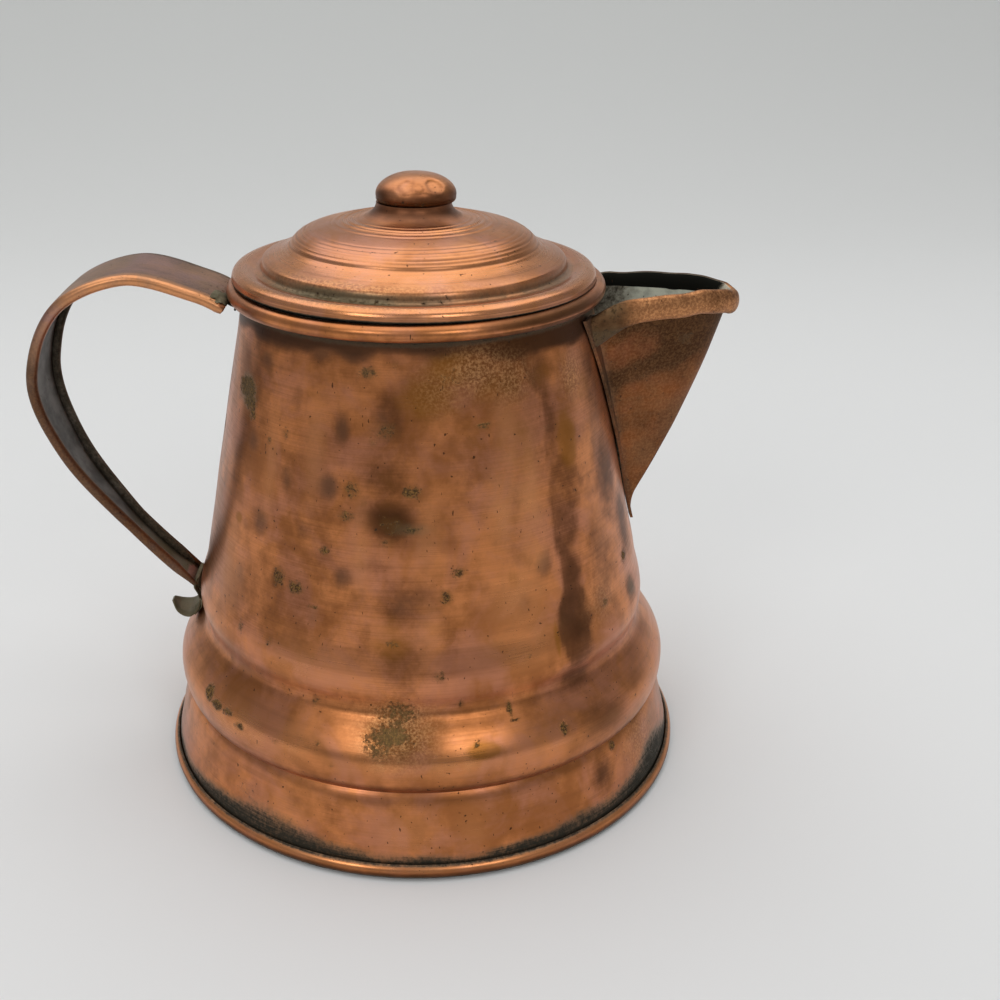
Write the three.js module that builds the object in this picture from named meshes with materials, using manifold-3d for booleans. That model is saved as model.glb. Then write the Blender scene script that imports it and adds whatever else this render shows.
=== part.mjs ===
// Small copper teapot with a V-shaped spout, a strap handle and a loose lid.
// Millimetres, +Z up. The origin is the middle of the bottom, on the table.
// The spout points along +X and the handle along -X.
import * as THREE from 'three';
import { mergeVertices } from 'three/addons/utils/BufferGeometryUtils.js';
import Module from 'manifold-3d';

const wasm = await Module();
wasm.setup();

// Clearances between pieces
const seatGap = 0.3;
const turnedGap = 0.15;

// Pot body: one sheet, raised and turned, measured on its outside
const bodySheet = 0.6;
const footRadius = 48.3;
const footStraight = 3.4;
const creaseRadius = 45.0;
const creaseHeight = 14.8;
const bulgeRadius = 46.4;
const bulgeHeight = 19.2;
const grooveRadius = 41.0;
const grooveHeight = 27.3;
const bellyRadius = 41.9;
const bellyHeight = 32.0;
const shoulderRadius = 40.2;
const shoulderHeight = 38.5;
const bulgeSideInset = 1.7;
const bulgeSideRise = 4.6;
const instepFlare = 1.25;
const instepDrop = 3.0;
const neckRadius = 30.2;
const neckDrop = 1.5;

// Rim: the sheet is turned out and down round a wire
const rimHeight = 89.2;
const rimBeadRadius = 1.4;
const rimWireRadius = 0.5;

// Bottom: a flat disc whose edge is turned up and paned over the foot
const bottomSheet = 0.5;
const bottomBeadRadius = 1.45;
const bottomLap = 0.15;
const bottomSolderSize = 1.6;

// Spout: a folded V with two flanges lying on the body, wired at the lip.
// Its depths are measured out from the body. The rises count up from the flanges' foot:
// to the trough, to its hollow, to the full hollow.
const spoutSheet = 0.5;
const spoutTopDrop = 3.2;
const spoutTopDepth = 23.75;
const spoutFootDepth = 1.83;
const ridgeBow = 1.2;
const spoutHalfWidth = 10.8;
const flangeHalfWidth = 14.4;
const flangeFoot = 44.0;
const flangeTipHalfWidth = 1.0;
const troughRise = 5.0;
const hollowRise = 1.0;
const fullHollowRise = 4.0;
const lipTipDrop = 0.6;
const lipRise = 1.3;
const lipEndDrop = 2.0;
const lipHalfWidth = 1.15;
const lipHalfHeight = 2.1;
const lipWireRadius = 0.34;
const lipEnds = 1.08;
const lipWireEnds = 0.94;
const spoutSolderRadius = 0.5;
const spoutSolderRise = 5.0;

// Strainer: rows of round holes pierced in the body behind the spout
const strainerRows = 3;
const strainerHoleDiameter = 3.0;
const strainerPitch = 5.4;
const strainerDrop = 6.0;

// Handle: a tapered strap with wired edges, soldered at the neck and at the belly.
// Its upper places are measured out and up from the rim wire, its lower ones from the belly.
const strapSheet = 0.5;
const strapHalfWidth = 8.7;
const strapTailHalfWidth = 4.2;
const tailTipHalfWidth = 1.6;
const strapTaperDrop = 13.2;
const strapTaperRise = 12.0;
const tabHalfWidth = 6.2;
const tabDrop = 6.2;
const tabFlat = 2.4;
const edgeRollRadius = 0.95;
const edgeWireRadius = 0.28;
const handleClimb = [
  new THREE.Vector2(1.2, -2.4),
  new THREE.Vector2(2.9, -0.3),
  new THREE.Vector2(6.6, 1.4),
  new THREE.Vector2(17.8, 4.2),
  new THREE.Vector2(30.9, -1.0),
  new THREE.Vector2(37.2, -15.2),
  new THREE.Vector2(33.8, -29.7),
];
const handleDescent = [
  new THREE.Vector2(15.1, 14.8),
  new THREE.Vector2(5.2, 4.0),
];
const curlRise = 0.6;
const curlStandOff = 2.6;
const curlRadius = 1.7;
const topSolderSize = 1.1;
const bottomSolderRise = 1.5;

// Lid: a spun crown, a collar that drops into the mouth, and a pressed knob.
// Each inset and rise is measured from the form outside it, starting at the pot's rim.
const lidSheet = 0.6;
const brimRise = 2.1;
const brimCrestInset = 1.9;
const channelDrop = 0.3;
const stepInset = 3.6;
const stepRise = 1.4;
const domeFootInset = 4.2;
const domeFootRise = 2.2;
const domeTopInset = 5.0;
const domeTopRise = 2.9;
const coveInset = 7.0;
const coveRise = 1.8;
const neckLidInset = 3.2;
const neckLidRise = 2.3;
const neckFlangeWidth = 1.8;
const collarSheet = 0.6;
const collarDepth = 6.2;
const collarClearance = 0.6;
const collarSolderSize = 1.0;
const knobOverhang = 0.4;
const knobHeight = 4.8;
const knobBelly = 1.6;
const knobSheet = 0.6;
const knobSolderSize = 0.7;

// Facets
const turns = 36;
const wireSides = 8;
const arcSteps = 6;

// Meshes and solids

function toSolid(geometry) {
  const bare = geometry.index ? geometry.clone() : geometry;
  bare.deleteAttribute('normal');
  bare.deleteAttribute('uv');
  const merged = mergeVertices(bare, 1e-5);
  const vertProperties = new Float32Array(merged.attributes.position.array);
  const triVerts = withoutSlivers(merged.index.array);
  if (signedVolume(vertProperties, triVerts) < 0) {
    triVerts.reverse();
  }
  return new wasm.Manifold(new wasm.Mesh({ numProp: 3, vertProperties, triVerts }));
}

function withoutSlivers(index) {
  const kept = [];
  for (let i = 0; i < index.length; i += 3) {
    const [a, b, c] = [index[i], index[i + 1], index[i + 2]];
    if (a !== b && b !== c && c !== a) {
      kept.push(a, b, c);
    }
  }
  return new Uint32Array(kept);
}

function signedVolume(positions, index) {
  const corner = (i) => new THREE.Vector3().fromArray(positions, index[i] * 3);
  let sum = 0;
  for (let i = 0; i < index.length; i += 3) {
    sum += corner(i).dot(corner(i + 1).cross(corner(i + 2)));
  }
  return sum / 6;
}

function toGeometry(solid) {
  const mesh = solid.getMesh();
  const geometry = new THREE.BufferGeometry();
  geometry.setAttribute('position', new THREE.BufferAttribute(mesh.vertProperties, 3));
  geometry.setIndex(new THREE.BufferAttribute(mesh.triVerts, 1));
  geometry.computeVertexNormals();
  return geometry;
}

// Outlines in the plane of radius and height

function line(...pairs) {
  return pairs.map(([r, z]) => new THREE.Vector2(r, z));
}

function bend(from, control, to, steps = 3) {
  return new THREE.QuadraticBezierCurve(from, control, to).getPoints(steps).slice(1);
}

// The point that a bend leans towards, as shares of the way across and of the way up.
function pull(from, to, across, up) {
  const { lerp } = THREE.MathUtils;
  return new THREE.Vector2(lerp(from.x, to.x, across), lerp(from.y, to.y, up));
}

function arc(centre, radiusX, radiusZ, fromDegrees, toDegrees, steps = arcSteps) {
  const points = [];
  for (let i = 0; i <= steps; i += 1) {
    const angle = THREE.MathUtils.degToRad(fromDegrees + ((toDegrees - fromDegrees) * i) / steps);
    const [across, up] = [radiusX * Math.cos(angle), radiusZ * Math.sin(angle)];
    points.push(new THREE.Vector2(centre.x + across, centre.y + up));
  }
  return points;
}

// A line moved sideways: to its left for a positive distance, seen along its way.
function sideways(points, distance) {
  return points.map((point, i) => {
    const before = points[Math.max(i - 1, 0)];
    const after = points[Math.min(i + 1, points.length - 1)];
    const arriving = new THREE.Vector2().subVectors(point, before).normalize();
    const leaving = new THREE.Vector2().subVectors(after, point).normalize();
    const along = new THREE.Vector2().addVectors(arriving, leaving).normalize();
    const spread = Math.max(along.dot(arriving.length() > 0 ? arriving : leaving), 0.6);
    const moved = new THREE.Vector2(-along.y, along.x).multiplyScalar(distance / spread).add(point);
    moved.x = point.x === 0 ? 0 : Math.max(moved.x, 0);
    return moved;
  });
}

// The closed section of a sheet from the line of one of its faces.
function sheetSection(points, thickness) {
  return [...points, ...sideways(points, thickness).reverse()];
}

// A closed section of a C-shaped roll, its mouth between the two angles.
function rollSection(centre, radiusX, radiusZ, sheet, fromDegrees, toDegrees) {
  const outside = arc(centre, radiusX, radiusZ, fromDegrees, toDegrees, 2 * arcSteps - 3);
  const inside = arc(centre, radiusX - sheet, radiusZ - sheet, toDegrees, fromDegrees, 2 * arcSteps - 3);
  return [...outside, ...inside];
}

function lathe(section) {
  const closed = section[0].x === 0 && section[section.length - 1].x === 0;
  const points = closed ? section : [...section, section[0]];
  const geometry = new THREE.LatheGeometry(points, turns);
  geometry.rotateX(Math.PI / 2);
  return toSolid(geometry);
}

// Closed solid through a row of closed rings. Each outline is its ring drawn flat.
function loft(rings, outlines) {
  const flip = THREE.ShapeUtils.isClockWise(outlines[0]);
  const ordered = flip ? rings.map((ring) => [...ring].reverse()) : rings;
  const caps = [outlines[0], outlines[outlines.length - 1]].map((outline) => {
    return THREE.ShapeUtils.triangulateShape(flip ? [...outline].reverse() : outline, []);
  });
  const count = ordered[0].length;
  const index = [];
  for (let row = 0; row + 1 < ordered.length; row += 1) {
    for (let i = 0; i < count; i += 1) {
      const a = row * count + i;
      const b = row * count + ((i + 1) % count);
      index.push(a, b, b + count);
      index.push(a, b + count, a + count);
    }
  }
  const last = (ordered.length - 1) * count;
  for (const [a, b, c] of caps[0]) {
    index.push(a, c, b);
  }
  for (const [a, b, c] of caps[1]) {
    index.push(last + a, last + b, last + c);
  }
  const geometry = new THREE.BufferGeometry();
  const corners = ordered.flat().flatMap((p) => [...p]);
  geometry.setAttribute('position', new THREE.Float32BufferAttribute(corners, 3));
  geometry.setIndex(index);
  return toSolid(geometry);
}

// A section carried along frames. Each frame has an origin, a way across and a way out.
function sweep(frames, sectionAt) {
  const outlines = frames.map((frame, i) => sectionAt(i));
  const rings = frames.map((frame, i) => {
    return outlines[i].map((p) => {
      return frame.origin.clone().addScaledVector(frame.across, p.x).addScaledVector(frame.out, p.y);
    });
  });
  return loft(rings, outlines);
}

// Part of a turned ring, between two angles about the pot's axis.
function sector(section, middleDegrees, halfDegrees, steps = 6) {
  const frames = [];
  for (let i = 0; i <= steps; i += 1) {
    const degrees = middleDegrees - halfDegrees + (2 * halfDegrees * i) / steps;
    const angle = THREE.MathUtils.degToRad(degrees);
    frames.push({
      origin: new THREE.Vector3(),
      across: new THREE.Vector3(Math.cos(angle), Math.sin(angle), 0),
      out: new THREE.Vector3(0, 0, 1),
    });
  }
  return sweep(frames, () => section);
}

function circle(centre, radius, sides = wireSides) {
  return arc(centre, radius, radius, 0, 360 - 360 / sides, sides - 1);
}

// Pot body

const rimRadius = neckRadius + rimBeadRadius - bodySheet + 0.2;
const rimCentre = new THREE.Vector2(rimRadius, rimHeight);

function wallLine() {
  const crease = new THREE.Vector2(creaseRadius, creaseHeight);
  const bulge = new THREE.Vector2(bulgeRadius, bulgeHeight);
  const groove = new THREE.Vector2(grooveRadius, grooveHeight);
  const belly = new THREE.Vector2(bellyRadius, bellyHeight);
  const shoulder = new THREE.Vector2(shoulderRadius, shoulderHeight);
  const neck = new THREE.Vector2(neckRadius, rimHeight - neckDrop);
  const footTop = new THREE.Vector2(footRadius, footStraight);
  const instep = new THREE.Vector2(creaseRadius + instepFlare, creaseHeight - instepDrop);
  const bulgeSide = new THREE.Vector2(bulgeRadius - bulgeSideInset, bulgeHeight + bulgeSideRise);
  return [
    new THREE.Vector2(footRadius, bottomSheet + seatGap),
    footTop,
    ...bend(footTop, pull(footTop, instep, 0.5, 0.5), instep),
    ...bend(instep, pull(instep, crease, 0.28, 0.63), crease, 2),
    ...bend(crease, pull(crease, bulge, 1, 0.23), bulge),
    ...bend(bulge, pull(bulge, bulgeSide, 0, 0.565), bulgeSide),
    ...bend(bulgeSide, pull(bulgeSide, groove, 0.43, 0.83), groove),
    ...bend(groove, pull(groove, belly, 0.33, 0.49), belly, 2),
    ...bend(belly, pull(belly, shoulder, 0, 0.4), shoulder, 2),
    neck,
  ];
}

const wall = wallLine();

// Outside radius of the pot wall at a height.
function wallRadius(height) {
  for (let i = 1; i < wall.length; i += 1) {
    if (height <= wall[i].y) {
      const share = (height - wall[i - 1].y) / (wall[i].y - wall[i - 1].y);
      return THREE.MathUtils.lerp(wall[i - 1].x, wall[i].x, share);
    }
  }
  return neckRadius;
}

function bodyShell() {
  const rollRadius = rimBeadRadius - bodySheet;
  const roll = arc(rimCentre, rollRadius, rollRadius, 180, -110, 2 * arcSteps - 3);
  let shell = lathe(sheetSection([...wall, ...roll], bodySheet));
  const topRow = rimHeight - spoutTopDrop - strainerDrop;
  for (let row = 0; row < strainerRows; row += 1) {
    const holes = strainerRows - row;
    for (let i = 0; i < holes; i += 1) {
      const y = (i - (holes - 1) / 2) * strainerPitch;
      shell = shell.subtract(strainerPunch(y, topRow - row * strainerPitch * 0.9));
    }
  }
  return shell;
}

function strainerPunch(y, z) {
  const radius = strainerHoleDiameter / 2;
  const punch = new THREE.CylinderGeometry(radius, radius, bodySheet * 20, 10);
  punch.rotateZ(Math.PI / 2);
  punch.translate(wallRadius(z), y, z);
  return toSolid(punch);
}

function rimWire() {
  return lathe(circle(rimCentre, rimWireRadius));
}

// The solid pot with its clearance, used to trim what is soldered to it.
function bodyCutter() {
  const outside = wall.map((p) => new THREE.Vector2(p.x + seatGap, p.y));
  const core = lathe([
    new THREE.Vector2(0, 0),
    new THREE.Vector2(footRadius + seatGap, 0),
    ...outside,
    new THREE.Vector2(rimRadius, rimHeight),
    new THREE.Vector2(0, rimHeight),
  ]);
  return core.add(lathe(circle(rimCentre, rimBeadRadius + seatGap, 12)));
}

// Bottom

function bottomDisc() {
  const centre = new THREE.Vector2(footRadius - bottomLap, bottomBeadRadius);
  const fold = arc(centre, bottomBeadRadius, bottomBeadRadius, -90, 70, 8);
  return lathe(sheetSection([new THREE.Vector2(0, 0), ...fold], bottomSheet));
}

function bottomSolder() {
  const r = footRadius - bodySheet - turnedGap;
  const z = bottomSheet + turnedGap;
  const size = bottomSolderSize;
  return lathe(line([r - size, z], [r, z], [r, z + size], [r - size * 0.35, z + size * 0.35]));
}

// Spout

const spoutTop = rimHeight - spoutTopDrop;
const spoutFoot = flangeFoot + troughRise;
const hollowStart = spoutFoot + hollowRise;
const hollowFull = hollowStart + fullHollowRise;
const spoutSolderFoot = hollowFull + spoutSolderRise;

function growth(height, foot, top) {
  return THREE.MathUtils.clamp((height - foot) / (top - foot), 0, 1);
}

function troughHalfWidth(height) {
  return spoutHalfWidth * Math.max(growth(height, spoutFoot - 0.3 * troughRise, spoutTop), 0.04);
}

function flangeHalf(height) {
  return Math.max(flangeHalfWidth * growth(height, flangeFoot, spoutTop), flangeTipHalfWidth);
}

function onBody(radius, y) {
  return new THREE.Vector2(Math.sqrt(radius * radius - y * y), y);
}

// Plan of the trough at a height: share runs from -1 at one flange to 1 at the other.
function troughPoint(height, share, inset) {
  const seat = wallRadius(height) + seatGap;
  const half = troughHalfWidth(height);
  const ridgeShare = growth(height, spoutFoot, spoutTop);
  const footGrowth = growth(height, flangeFoot + 0.3 * troughRise, spoutFoot);
  const bow = ridgeBow * 4 * ridgeShare * (1 - ridgeShare);
  const footRidge = wallRadius(spoutFoot) + seatGap + spoutFootDepth;
  const topRidge = wallRadius(spoutTop) + seatGap + spoutTopDepth;
  const ridge = THREE.MathUtils.lerp(footRidge, topRidge, ridgeShare) + bow;
  const lowRidge = THREE.MathUtils.lerp(seat + spoutSheet, ridge, footGrowth);
  const power = THREE.MathUtils.lerp(1.3, 2.0, ridgeShare);
  const depth = Math.abs(share) ** power;
  if (!inset) {
    const root = onBody(seat + spoutSheet, half).x;
    return new THREE.Vector2(THREE.MathUtils.lerp(lowRidge, root, depth), half * share);
  }
  const y = share * Math.max(half - spoutSheet, 0.4 * half);
  const root = onBody(seat, Math.abs(y / (share || 1))).x;
  const open = new THREE.Vector2(THREE.MathUtils.lerp(lowRidge - 1.3 * spoutSheet, root, depth), y);
  return onBody(seat, y).lerp(open, growth(height, hollowStart, hollowFull));
}

const troughShares = [];
for (let i = -10; i <= 10; i += 1) {
  const share = i / 10;
  troughShares.push(share * THREE.MathUtils.lerp(0.6, 1, Math.abs(share)));
}

function troughOutline(height) {
  const seat = wallRadius(height) + seatGap;
  const half = flangeHalf(height);
  const outside = troughShares.map((share) => troughPoint(height, share, false));
  const inside = troughShares.map((share) => troughPoint(height, share, true)).reverse();
  return [
    onBody(seat + spoutSheet, -half),
    ...outside,
    onBody(seat + spoutSheet, half),
    onBody(seat, half),
    ...inside,
    onBody(seat, -half),
  ];
}

function evenly(from, to, steps) {
  return Array.from({ length: steps + 1 }, (_, i) => THREE.MathUtils.lerp(from, to, i / steps));
}

// Frames along the middle of the lip's roll: across points away from the trough.
function lipFrames(ends) {
  const between = troughShares.filter((share) => Math.abs(share) < Math.min(ends, 1));
  return [-ends, ...between, ends].map((share) => {
    const here = troughPoint(spoutTop, share, false);
    const ahead = troughPoint(spoutTop, share + 0.01, false);
    const back = troughPoint(spoutTop, share - 0.01, false);
    const along = new THREE.Vector2().subVectors(ahead, back).normalize();
    const across = new THREE.Vector3(along.y, -along.x, 0);
    const reached = Math.min(Math.abs(share), 1);
    const rise = lipRise * Math.min(2 * reached, 1) - lipEndDrop * reached ** 8;
    const origin = new THREE.Vector3(here.x, here.y, spoutTop - lipTipDrop + rise);
    origin.addScaledVector(across, lipHalfWidth - spoutSheet);
    return { origin, across, out: new THREE.Vector3(0, 0, 1) };
  });
}

function spoutShell(cutter) {
  const heights = [
    flangeFoot,
    (flangeFoot + spoutFoot) / 2,
    spoutFoot,
    (spoutFoot + hollowFull) / 2,
    ...evenly(hollowFull, spoutTop, 6),
  ];
  const outlines = heights.map((height) => troughOutline(height));
  const rings = outlines.map((outline, i) => outline.map((p) => new THREE.Vector3(p.x, p.y, heights[i])));
  const trough = loft(rings, outlines);
  const section = rollSection(new THREE.Vector2(0, 0), lipHalfWidth, lipHalfHeight, spoutSheet, 205, -110);
  const lip = sweep(lipFrames(lipEnds), () => section);
  return trough.add(lip).subtract(cutter);
}

// The wire stops short of the flanges.
function spoutLipWire() {
  const section = circle(new THREE.Vector2(0, 0), lipWireRadius);
  return sweep(lipFrames(lipWireEnds), () => section);
}

// Tin run into the inner corner between the body and one wall of the trough.
function spoutSolder(side) {
  const frames = [];
  const steps = 8;
  const standoff = seatGap + spoutSolderRadius;
  for (let i = 0; i <= steps; i += 1) {
    const height = THREE.MathUtils.lerp(spoutSolderFoot, spoutTop - 1.5, i / steps);
    const y = side * (troughHalfWidth(height) - spoutSheet - standoff - 0.25);
    const plan = onBody(wallRadius(height) + standoff + 0.05, y);
    frames.push({
      origin: new THREE.Vector3(plan.x, plan.y, height),
      across: new THREE.Vector3(1, 0, 0),
      out: new THREE.Vector3(0, 1, 0),
    });
  }
  const section = circle(new THREE.Vector2(0, 0), spoutSolderRadius, 6);
  return sweep(frames, () => section);
}

// Handle

const tabFoot = rimHeight - tabDrop;
const wallFace = (height) => -(wallRadius(height) + seatGap);

// The outer face of the strap, from the neck over the top, down the back and into the curl.
function strapPoints() {
  const curlHeight = grooveHeight + curlRise;
  const seat = wallFace(bellyHeight);
  const curl = new THREE.Vector2(seat - curlStandOff, curlHeight);
  return [
    new THREE.Vector2(wallFace(tabFoot), tabFoot),
    new THREE.Vector2(wallFace(tabFoot + tabFlat), tabFoot + tabFlat),
    ...handleClimb.map((climb) => new THREE.Vector2(-rimRadius - climb.x, rimHeight + climb.y)),
    ...handleDescent.map((place) => new THREE.Vector2(seat - place.x, bellyHeight + place.y)),
    new THREE.Vector2(seat - strapSheet - 0.15, bellyHeight - 0.4),
    new THREE.Vector2(seat - strapSheet - 0.1, curlHeight + 0.4),
    new THREE.Vector2(curl.x, curl.y - curlRadius),
    new THREE.Vector2(curl.x - curlRadius, curl.y),
    new THREE.Vector2(curl.x - curlRadius + 0.1, curl.y + 1.3),
  ];
}

const strapLine = strapPoints();
const stepsPerSpan = 3;
const rollFirst = 3 * stepsPerSpan;
const rollLast = 10 * stepsPerSpan;
const tailFirst = 12 * stepsPerSpan;

function strapFrames() {
  const curve = new THREE.CatmullRomCurve3(strapLine.map((p) => new THREE.Vector3(p.x, 0, p.y)));
  const steps = (strapLine.length - 1) * stepsPerSpan;
  const frames = [];
  for (let i = 0; i <= steps; i += 1) {
    const origin = curve.getPoint(i / steps);
    const along = curve.getTangent(i / steps);
    const out = new THREE.Vector3(along.z, 0, -along.x);
    frames.push({ origin, out, across: new THREE.Vector3(0, 1, 0) });
  }
  return frames;
}

const handleFrames = strapFrames();

function strapHalf(i) {
  const height = handleFrames[i].origin.z;
  const grown = growth(height, bellyHeight + strapTaperRise, rimHeight - strapTaperDrop);
  const full = THREE.MathUtils.lerp(strapTailHalfWidth, strapHalfWidth, grown);
  const curled = Math.max(i - tailFirst, 0) / (handleFrames.length - 1 - tailFirst);
  const tail = THREE.MathUtils.lerp(full, tailTipHalfWidth, curled * curled);
  return i < rollFirst ? tabHalfWidth : tail;
}

function rollCentre(i, side) {
  return new THREE.Vector2(side * (strapHalf(i) - edgeRollRadius), -edgeRollRadius);
}

function handleStrap(cutter) {
  const strap = sweep(handleFrames, (i) => {
    const rolled = i >= rollFirst && i <= rollLast;
    const half = rolled ? strapHalf(i) - edgeRollRadius + 0.2 : strapHalf(i);
    return line([-half, 0], [half, 0], [half, -strapSheet], [-half, -strapSheet]);
  });
  const rolledFrames = handleFrames.slice(rollFirst, rollLast + 1);
  const near = sweep(rolledFrames, (i) => {
    const centre = rollCentre(i + rollFirst, -1);
    return rollSection(centre, edgeRollRadius, edgeRollRadius, strapSheet, 90, 380);
  });
  const far = sweep(rolledFrames, (i) => {
    const centre = rollCentre(i + rollFirst, 1);
    return rollSection(centre, edgeRollRadius, edgeRollRadius, strapSheet, 90, -200);
  });
  return strap.add(near).add(far).subtract(cutter);
}

function handleWire(side) {
  const rolledFrames = handleFrames.slice(rollFirst, rollLast + 1);
  return sweep(rolledFrames, (i) => circle(rollCentre(i + rollFirst, side), edgeWireRadius));
}

// Tin below the tab that lies against the neck.
function handleTopSolder() {
  const top = tabFoot - turnedGap;
  const foot = top - topSolderSize;
  const section = line(
    [wallRadius(foot) + turnedGap, foot],
    [wallRadius(top) + turnedGap + strapSheet, top],
    [wallRadius(top) + turnedGap, top],
  );
  const halfAngle = THREE.MathUtils.radToDeg(Math.asin(tabHalfWidth / wallRadius(top)));
  return sector(section, 180, halfAngle);
}

// Distance from the pot's axis to the inner face of the lower strap at a height.
function strapInside(height) {
  const upper = strapLine[10];
  const lower = strapLine[11];
  const share = (height - lower.y) / (upper.y - lower.y);
  const along = new THREE.Vector2().subVectors(lower, upper).normalize();
  return -THREE.MathUtils.lerp(lower.x, upper.x, share) - strapSheet / Math.abs(along.y);
}

// Tin in the notch above the place where the strap meets the belly.
function handleBottomSolder() {
  const foot = bellyHeight + 1.6;
  const top = foot + bottomSolderRise;
  const section = line(
    [wallRadius(foot) + seatGap, foot],
    [strapInside(foot) - 2 * seatGap, foot],
    [strapInside(top) - 2 * seatGap, top],
    [wallRadius(top) + seatGap, top],
  );
  const halfAngle = THREE.MathUtils.radToDeg(Math.asin((strapTailHalfWidth - 0.4) / wallRadius(foot)));
  return sector(section, 180, halfAngle);
}

// Lid

const rimTop = rimHeight + rimBeadRadius;
const brimEdgeRadius = rimRadius + 0.1;
const brimCrestRadius = brimEdgeRadius - brimCrestInset;
const stepRadius = brimCrestRadius - stepInset;
const domeFootRadius = stepRadius - domeFootInset;
const domeTopRadius = domeFootRadius - domeTopInset;
const coveRadius = domeTopRadius - coveInset;
const neckLidRadius = coveRadius - neckLidInset;
const knobRadius = neckLidRadius + knobOverhang;
const brimHeight = rimTop + brimRise;
const channelHeight = brimHeight - channelDrop;
const stepHeight = channelHeight + stepRise;
const domeFootHeight = stepHeight + domeFootRise;
const domeTopHeight = domeFootHeight + domeTopRise;
const coveHeight = domeTopHeight + coveRise;
const neckLidHeight = coveHeight + neckLidRise;
const knobSeat = neckLidHeight + turnedGap;

function crownLine() {
  const neck = new THREE.Vector2(neckLidRadius, neckLidHeight);
  const cove = new THREE.Vector2(coveRadius, coveHeight);
  const domeTop = new THREE.Vector2(domeTopRadius, domeTopHeight);
  const domeFoot = new THREE.Vector2(domeFootRadius, domeFootHeight);
  const step = new THREE.Vector2(stepRadius, stepHeight);
  const channel = new THREE.Vector2(stepRadius + 0.5, channelHeight);
  const channelEnd = new THREE.Vector2(stepRadius + 1.7, channelHeight - 0.1);
  const crest = new THREE.Vector2(brimCrestRadius, brimHeight);
  const edge = new THREE.Vector2(brimEdgeRadius, rimTop + turnedGap);
  return [
    new THREE.Vector2(neckLidRadius - neckFlangeWidth, neckLidHeight),
    neck,
    ...bend(neck, pull(neck, cove, 0.03, 0.7), cove),
    ...bend(cove, pull(cove, domeTop, 0.69, 0.55), domeTop),
    ...bend(domeTop, pull(domeTop, domeFoot, 0.64, 0.48), domeFoot),
    ...bend(domeFoot, pull(domeFoot, step, 0.19, 0.36), step),
    channel,
    channelEnd,
    ...bend(channelEnd, new THREE.Vector2(brimCrestRadius - 1, brimHeight), crest, 2),
    ...bend(crest, new THREE.Vector2(brimEdgeRadius, brimHeight - 0.1), edge, 4),
  ];
}

function lidCrown() {
  return lathe(sheetSection(crownLine(), -lidSheet));
}

const collarRadius = neckRadius - bodySheet - collarClearance;
const collarTop = channelHeight - lidSheet - 0.1 - turnedGap;

function lidCollar() {
  const inner = collarRadius - collarSheet;
  const foot = rimTop - collarDepth;
  return lathe(line([inner, foot], [collarRadius, foot], [collarRadius, collarTop], [inner, collarTop]));
}

function lidCollarSolder() {
  const r = collarRadius - collarSheet - turnedGap;
  return lathe(line([r - collarSolderSize, collarTop], [r, collarTop - collarSolderSize], [r, collarTop]));
}

function lidKnob() {
  const widest = new THREE.Vector2(knobRadius, knobSeat + knobBelly);
  const apex = new THREE.Vector2(0, knobSeat + knobHeight);
  const lower = new THREE.Vector2(neckLidRadius + 0.1, knobSeat);
  const crown = new THREE.Vector2(knobRadius * 0.5, apex.y - 0.5);
  const face = [
    lower,
    ...bend(lower, new THREE.Vector2(knobRadius, knobSeat + 0.3), widest, 2),
    ...bend(widest, new THREE.Vector2(knobRadius - 0.2, apex.y - 0.6), crown, 4),
    ...bend(crown, new THREE.Vector2(knobRadius * 0.2, apex.y), apex, 2),
  ];
  return lathe(sheetSection(face, knobSheet));
}

function knobSolder() {
  const r = neckLidRadius - knobSheet - turnedGap - 0.1;
  return lathe(line([r - knobSolderSize, knobSeat], [r, knobSeat], [r, knobSeat + knobSolderSize]));
}

// Materials

function metal(color, roughness, metalness) {
  return new THREE.MeshStandardMaterial({ color, roughness, metalness });
}

const wornCopper = () => metal(0xb5714c, 0.42, 0.95);
const dullCopper = () => metal(0x8a5a3c, 0.55, 0.9);
const ironWire = () => metal(0x5a544e, 0.6, 0.9);
const tinSolder = () => metal(0x8d8f84, 0.55, 0.85);

// Assembly

const teapot = new THREE.Group();
const pot = new THREE.Group();
const lid = new THREE.Group();
teapot.add(pot, lid);

function piece(group, name, solid, material) {
  const mesh = new THREE.Mesh(toGeometry(solid), material);
  mesh.name = name;
  group.add(mesh);
}

const cutter = bodyCutter();
piece(pot, 'body_shell', bodyShell(), wornCopper());
piece(pot, 'rim_wire', rimWire(), ironWire());
piece(pot, 'bottom_disc', bottomDisc(), wornCopper());
piece(pot, 'bottom_solder', bottomSolder(), tinSolder());
piece(pot, 'spout_shell', spoutShell(cutter), dullCopper());
piece(pot, 'spout_lip_wire', spoutLipWire(), ironWire());
piece(pot, 'spout_solder_near', spoutSolder(-1), tinSolder());
piece(pot, 'spout_solder_far', spoutSolder(1), tinSolder());
piece(pot, 'handle_strap', handleStrap(cutter), dullCopper());
piece(pot, 'handle_wire_near', handleWire(-1), ironWire());
piece(pot, 'handle_wire_far', handleWire(1), ironWire());
piece(pot, 'handle_top_solder', handleTopSolder(), tinSolder());
piece(pot, 'handle_bottom_solder', handleBottomSolder(), tinSolder());
piece(lid, 'lid_crown', lidCrown(), wornCopper());
piece(lid, 'lid_collar', lidCollar(), tinSolder());
piece(lid, 'lid_collar_solder', lidCollarSolder(), tinSolder());
piece(lid, 'lid_knob', lidKnob(), wornCopper());
piece(lid, 'knob_solder', knobSolder(), tinSolder());

export default teapot;
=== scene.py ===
import bpy
import numpy as np
from mathutils import Matrix, Vector


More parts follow.
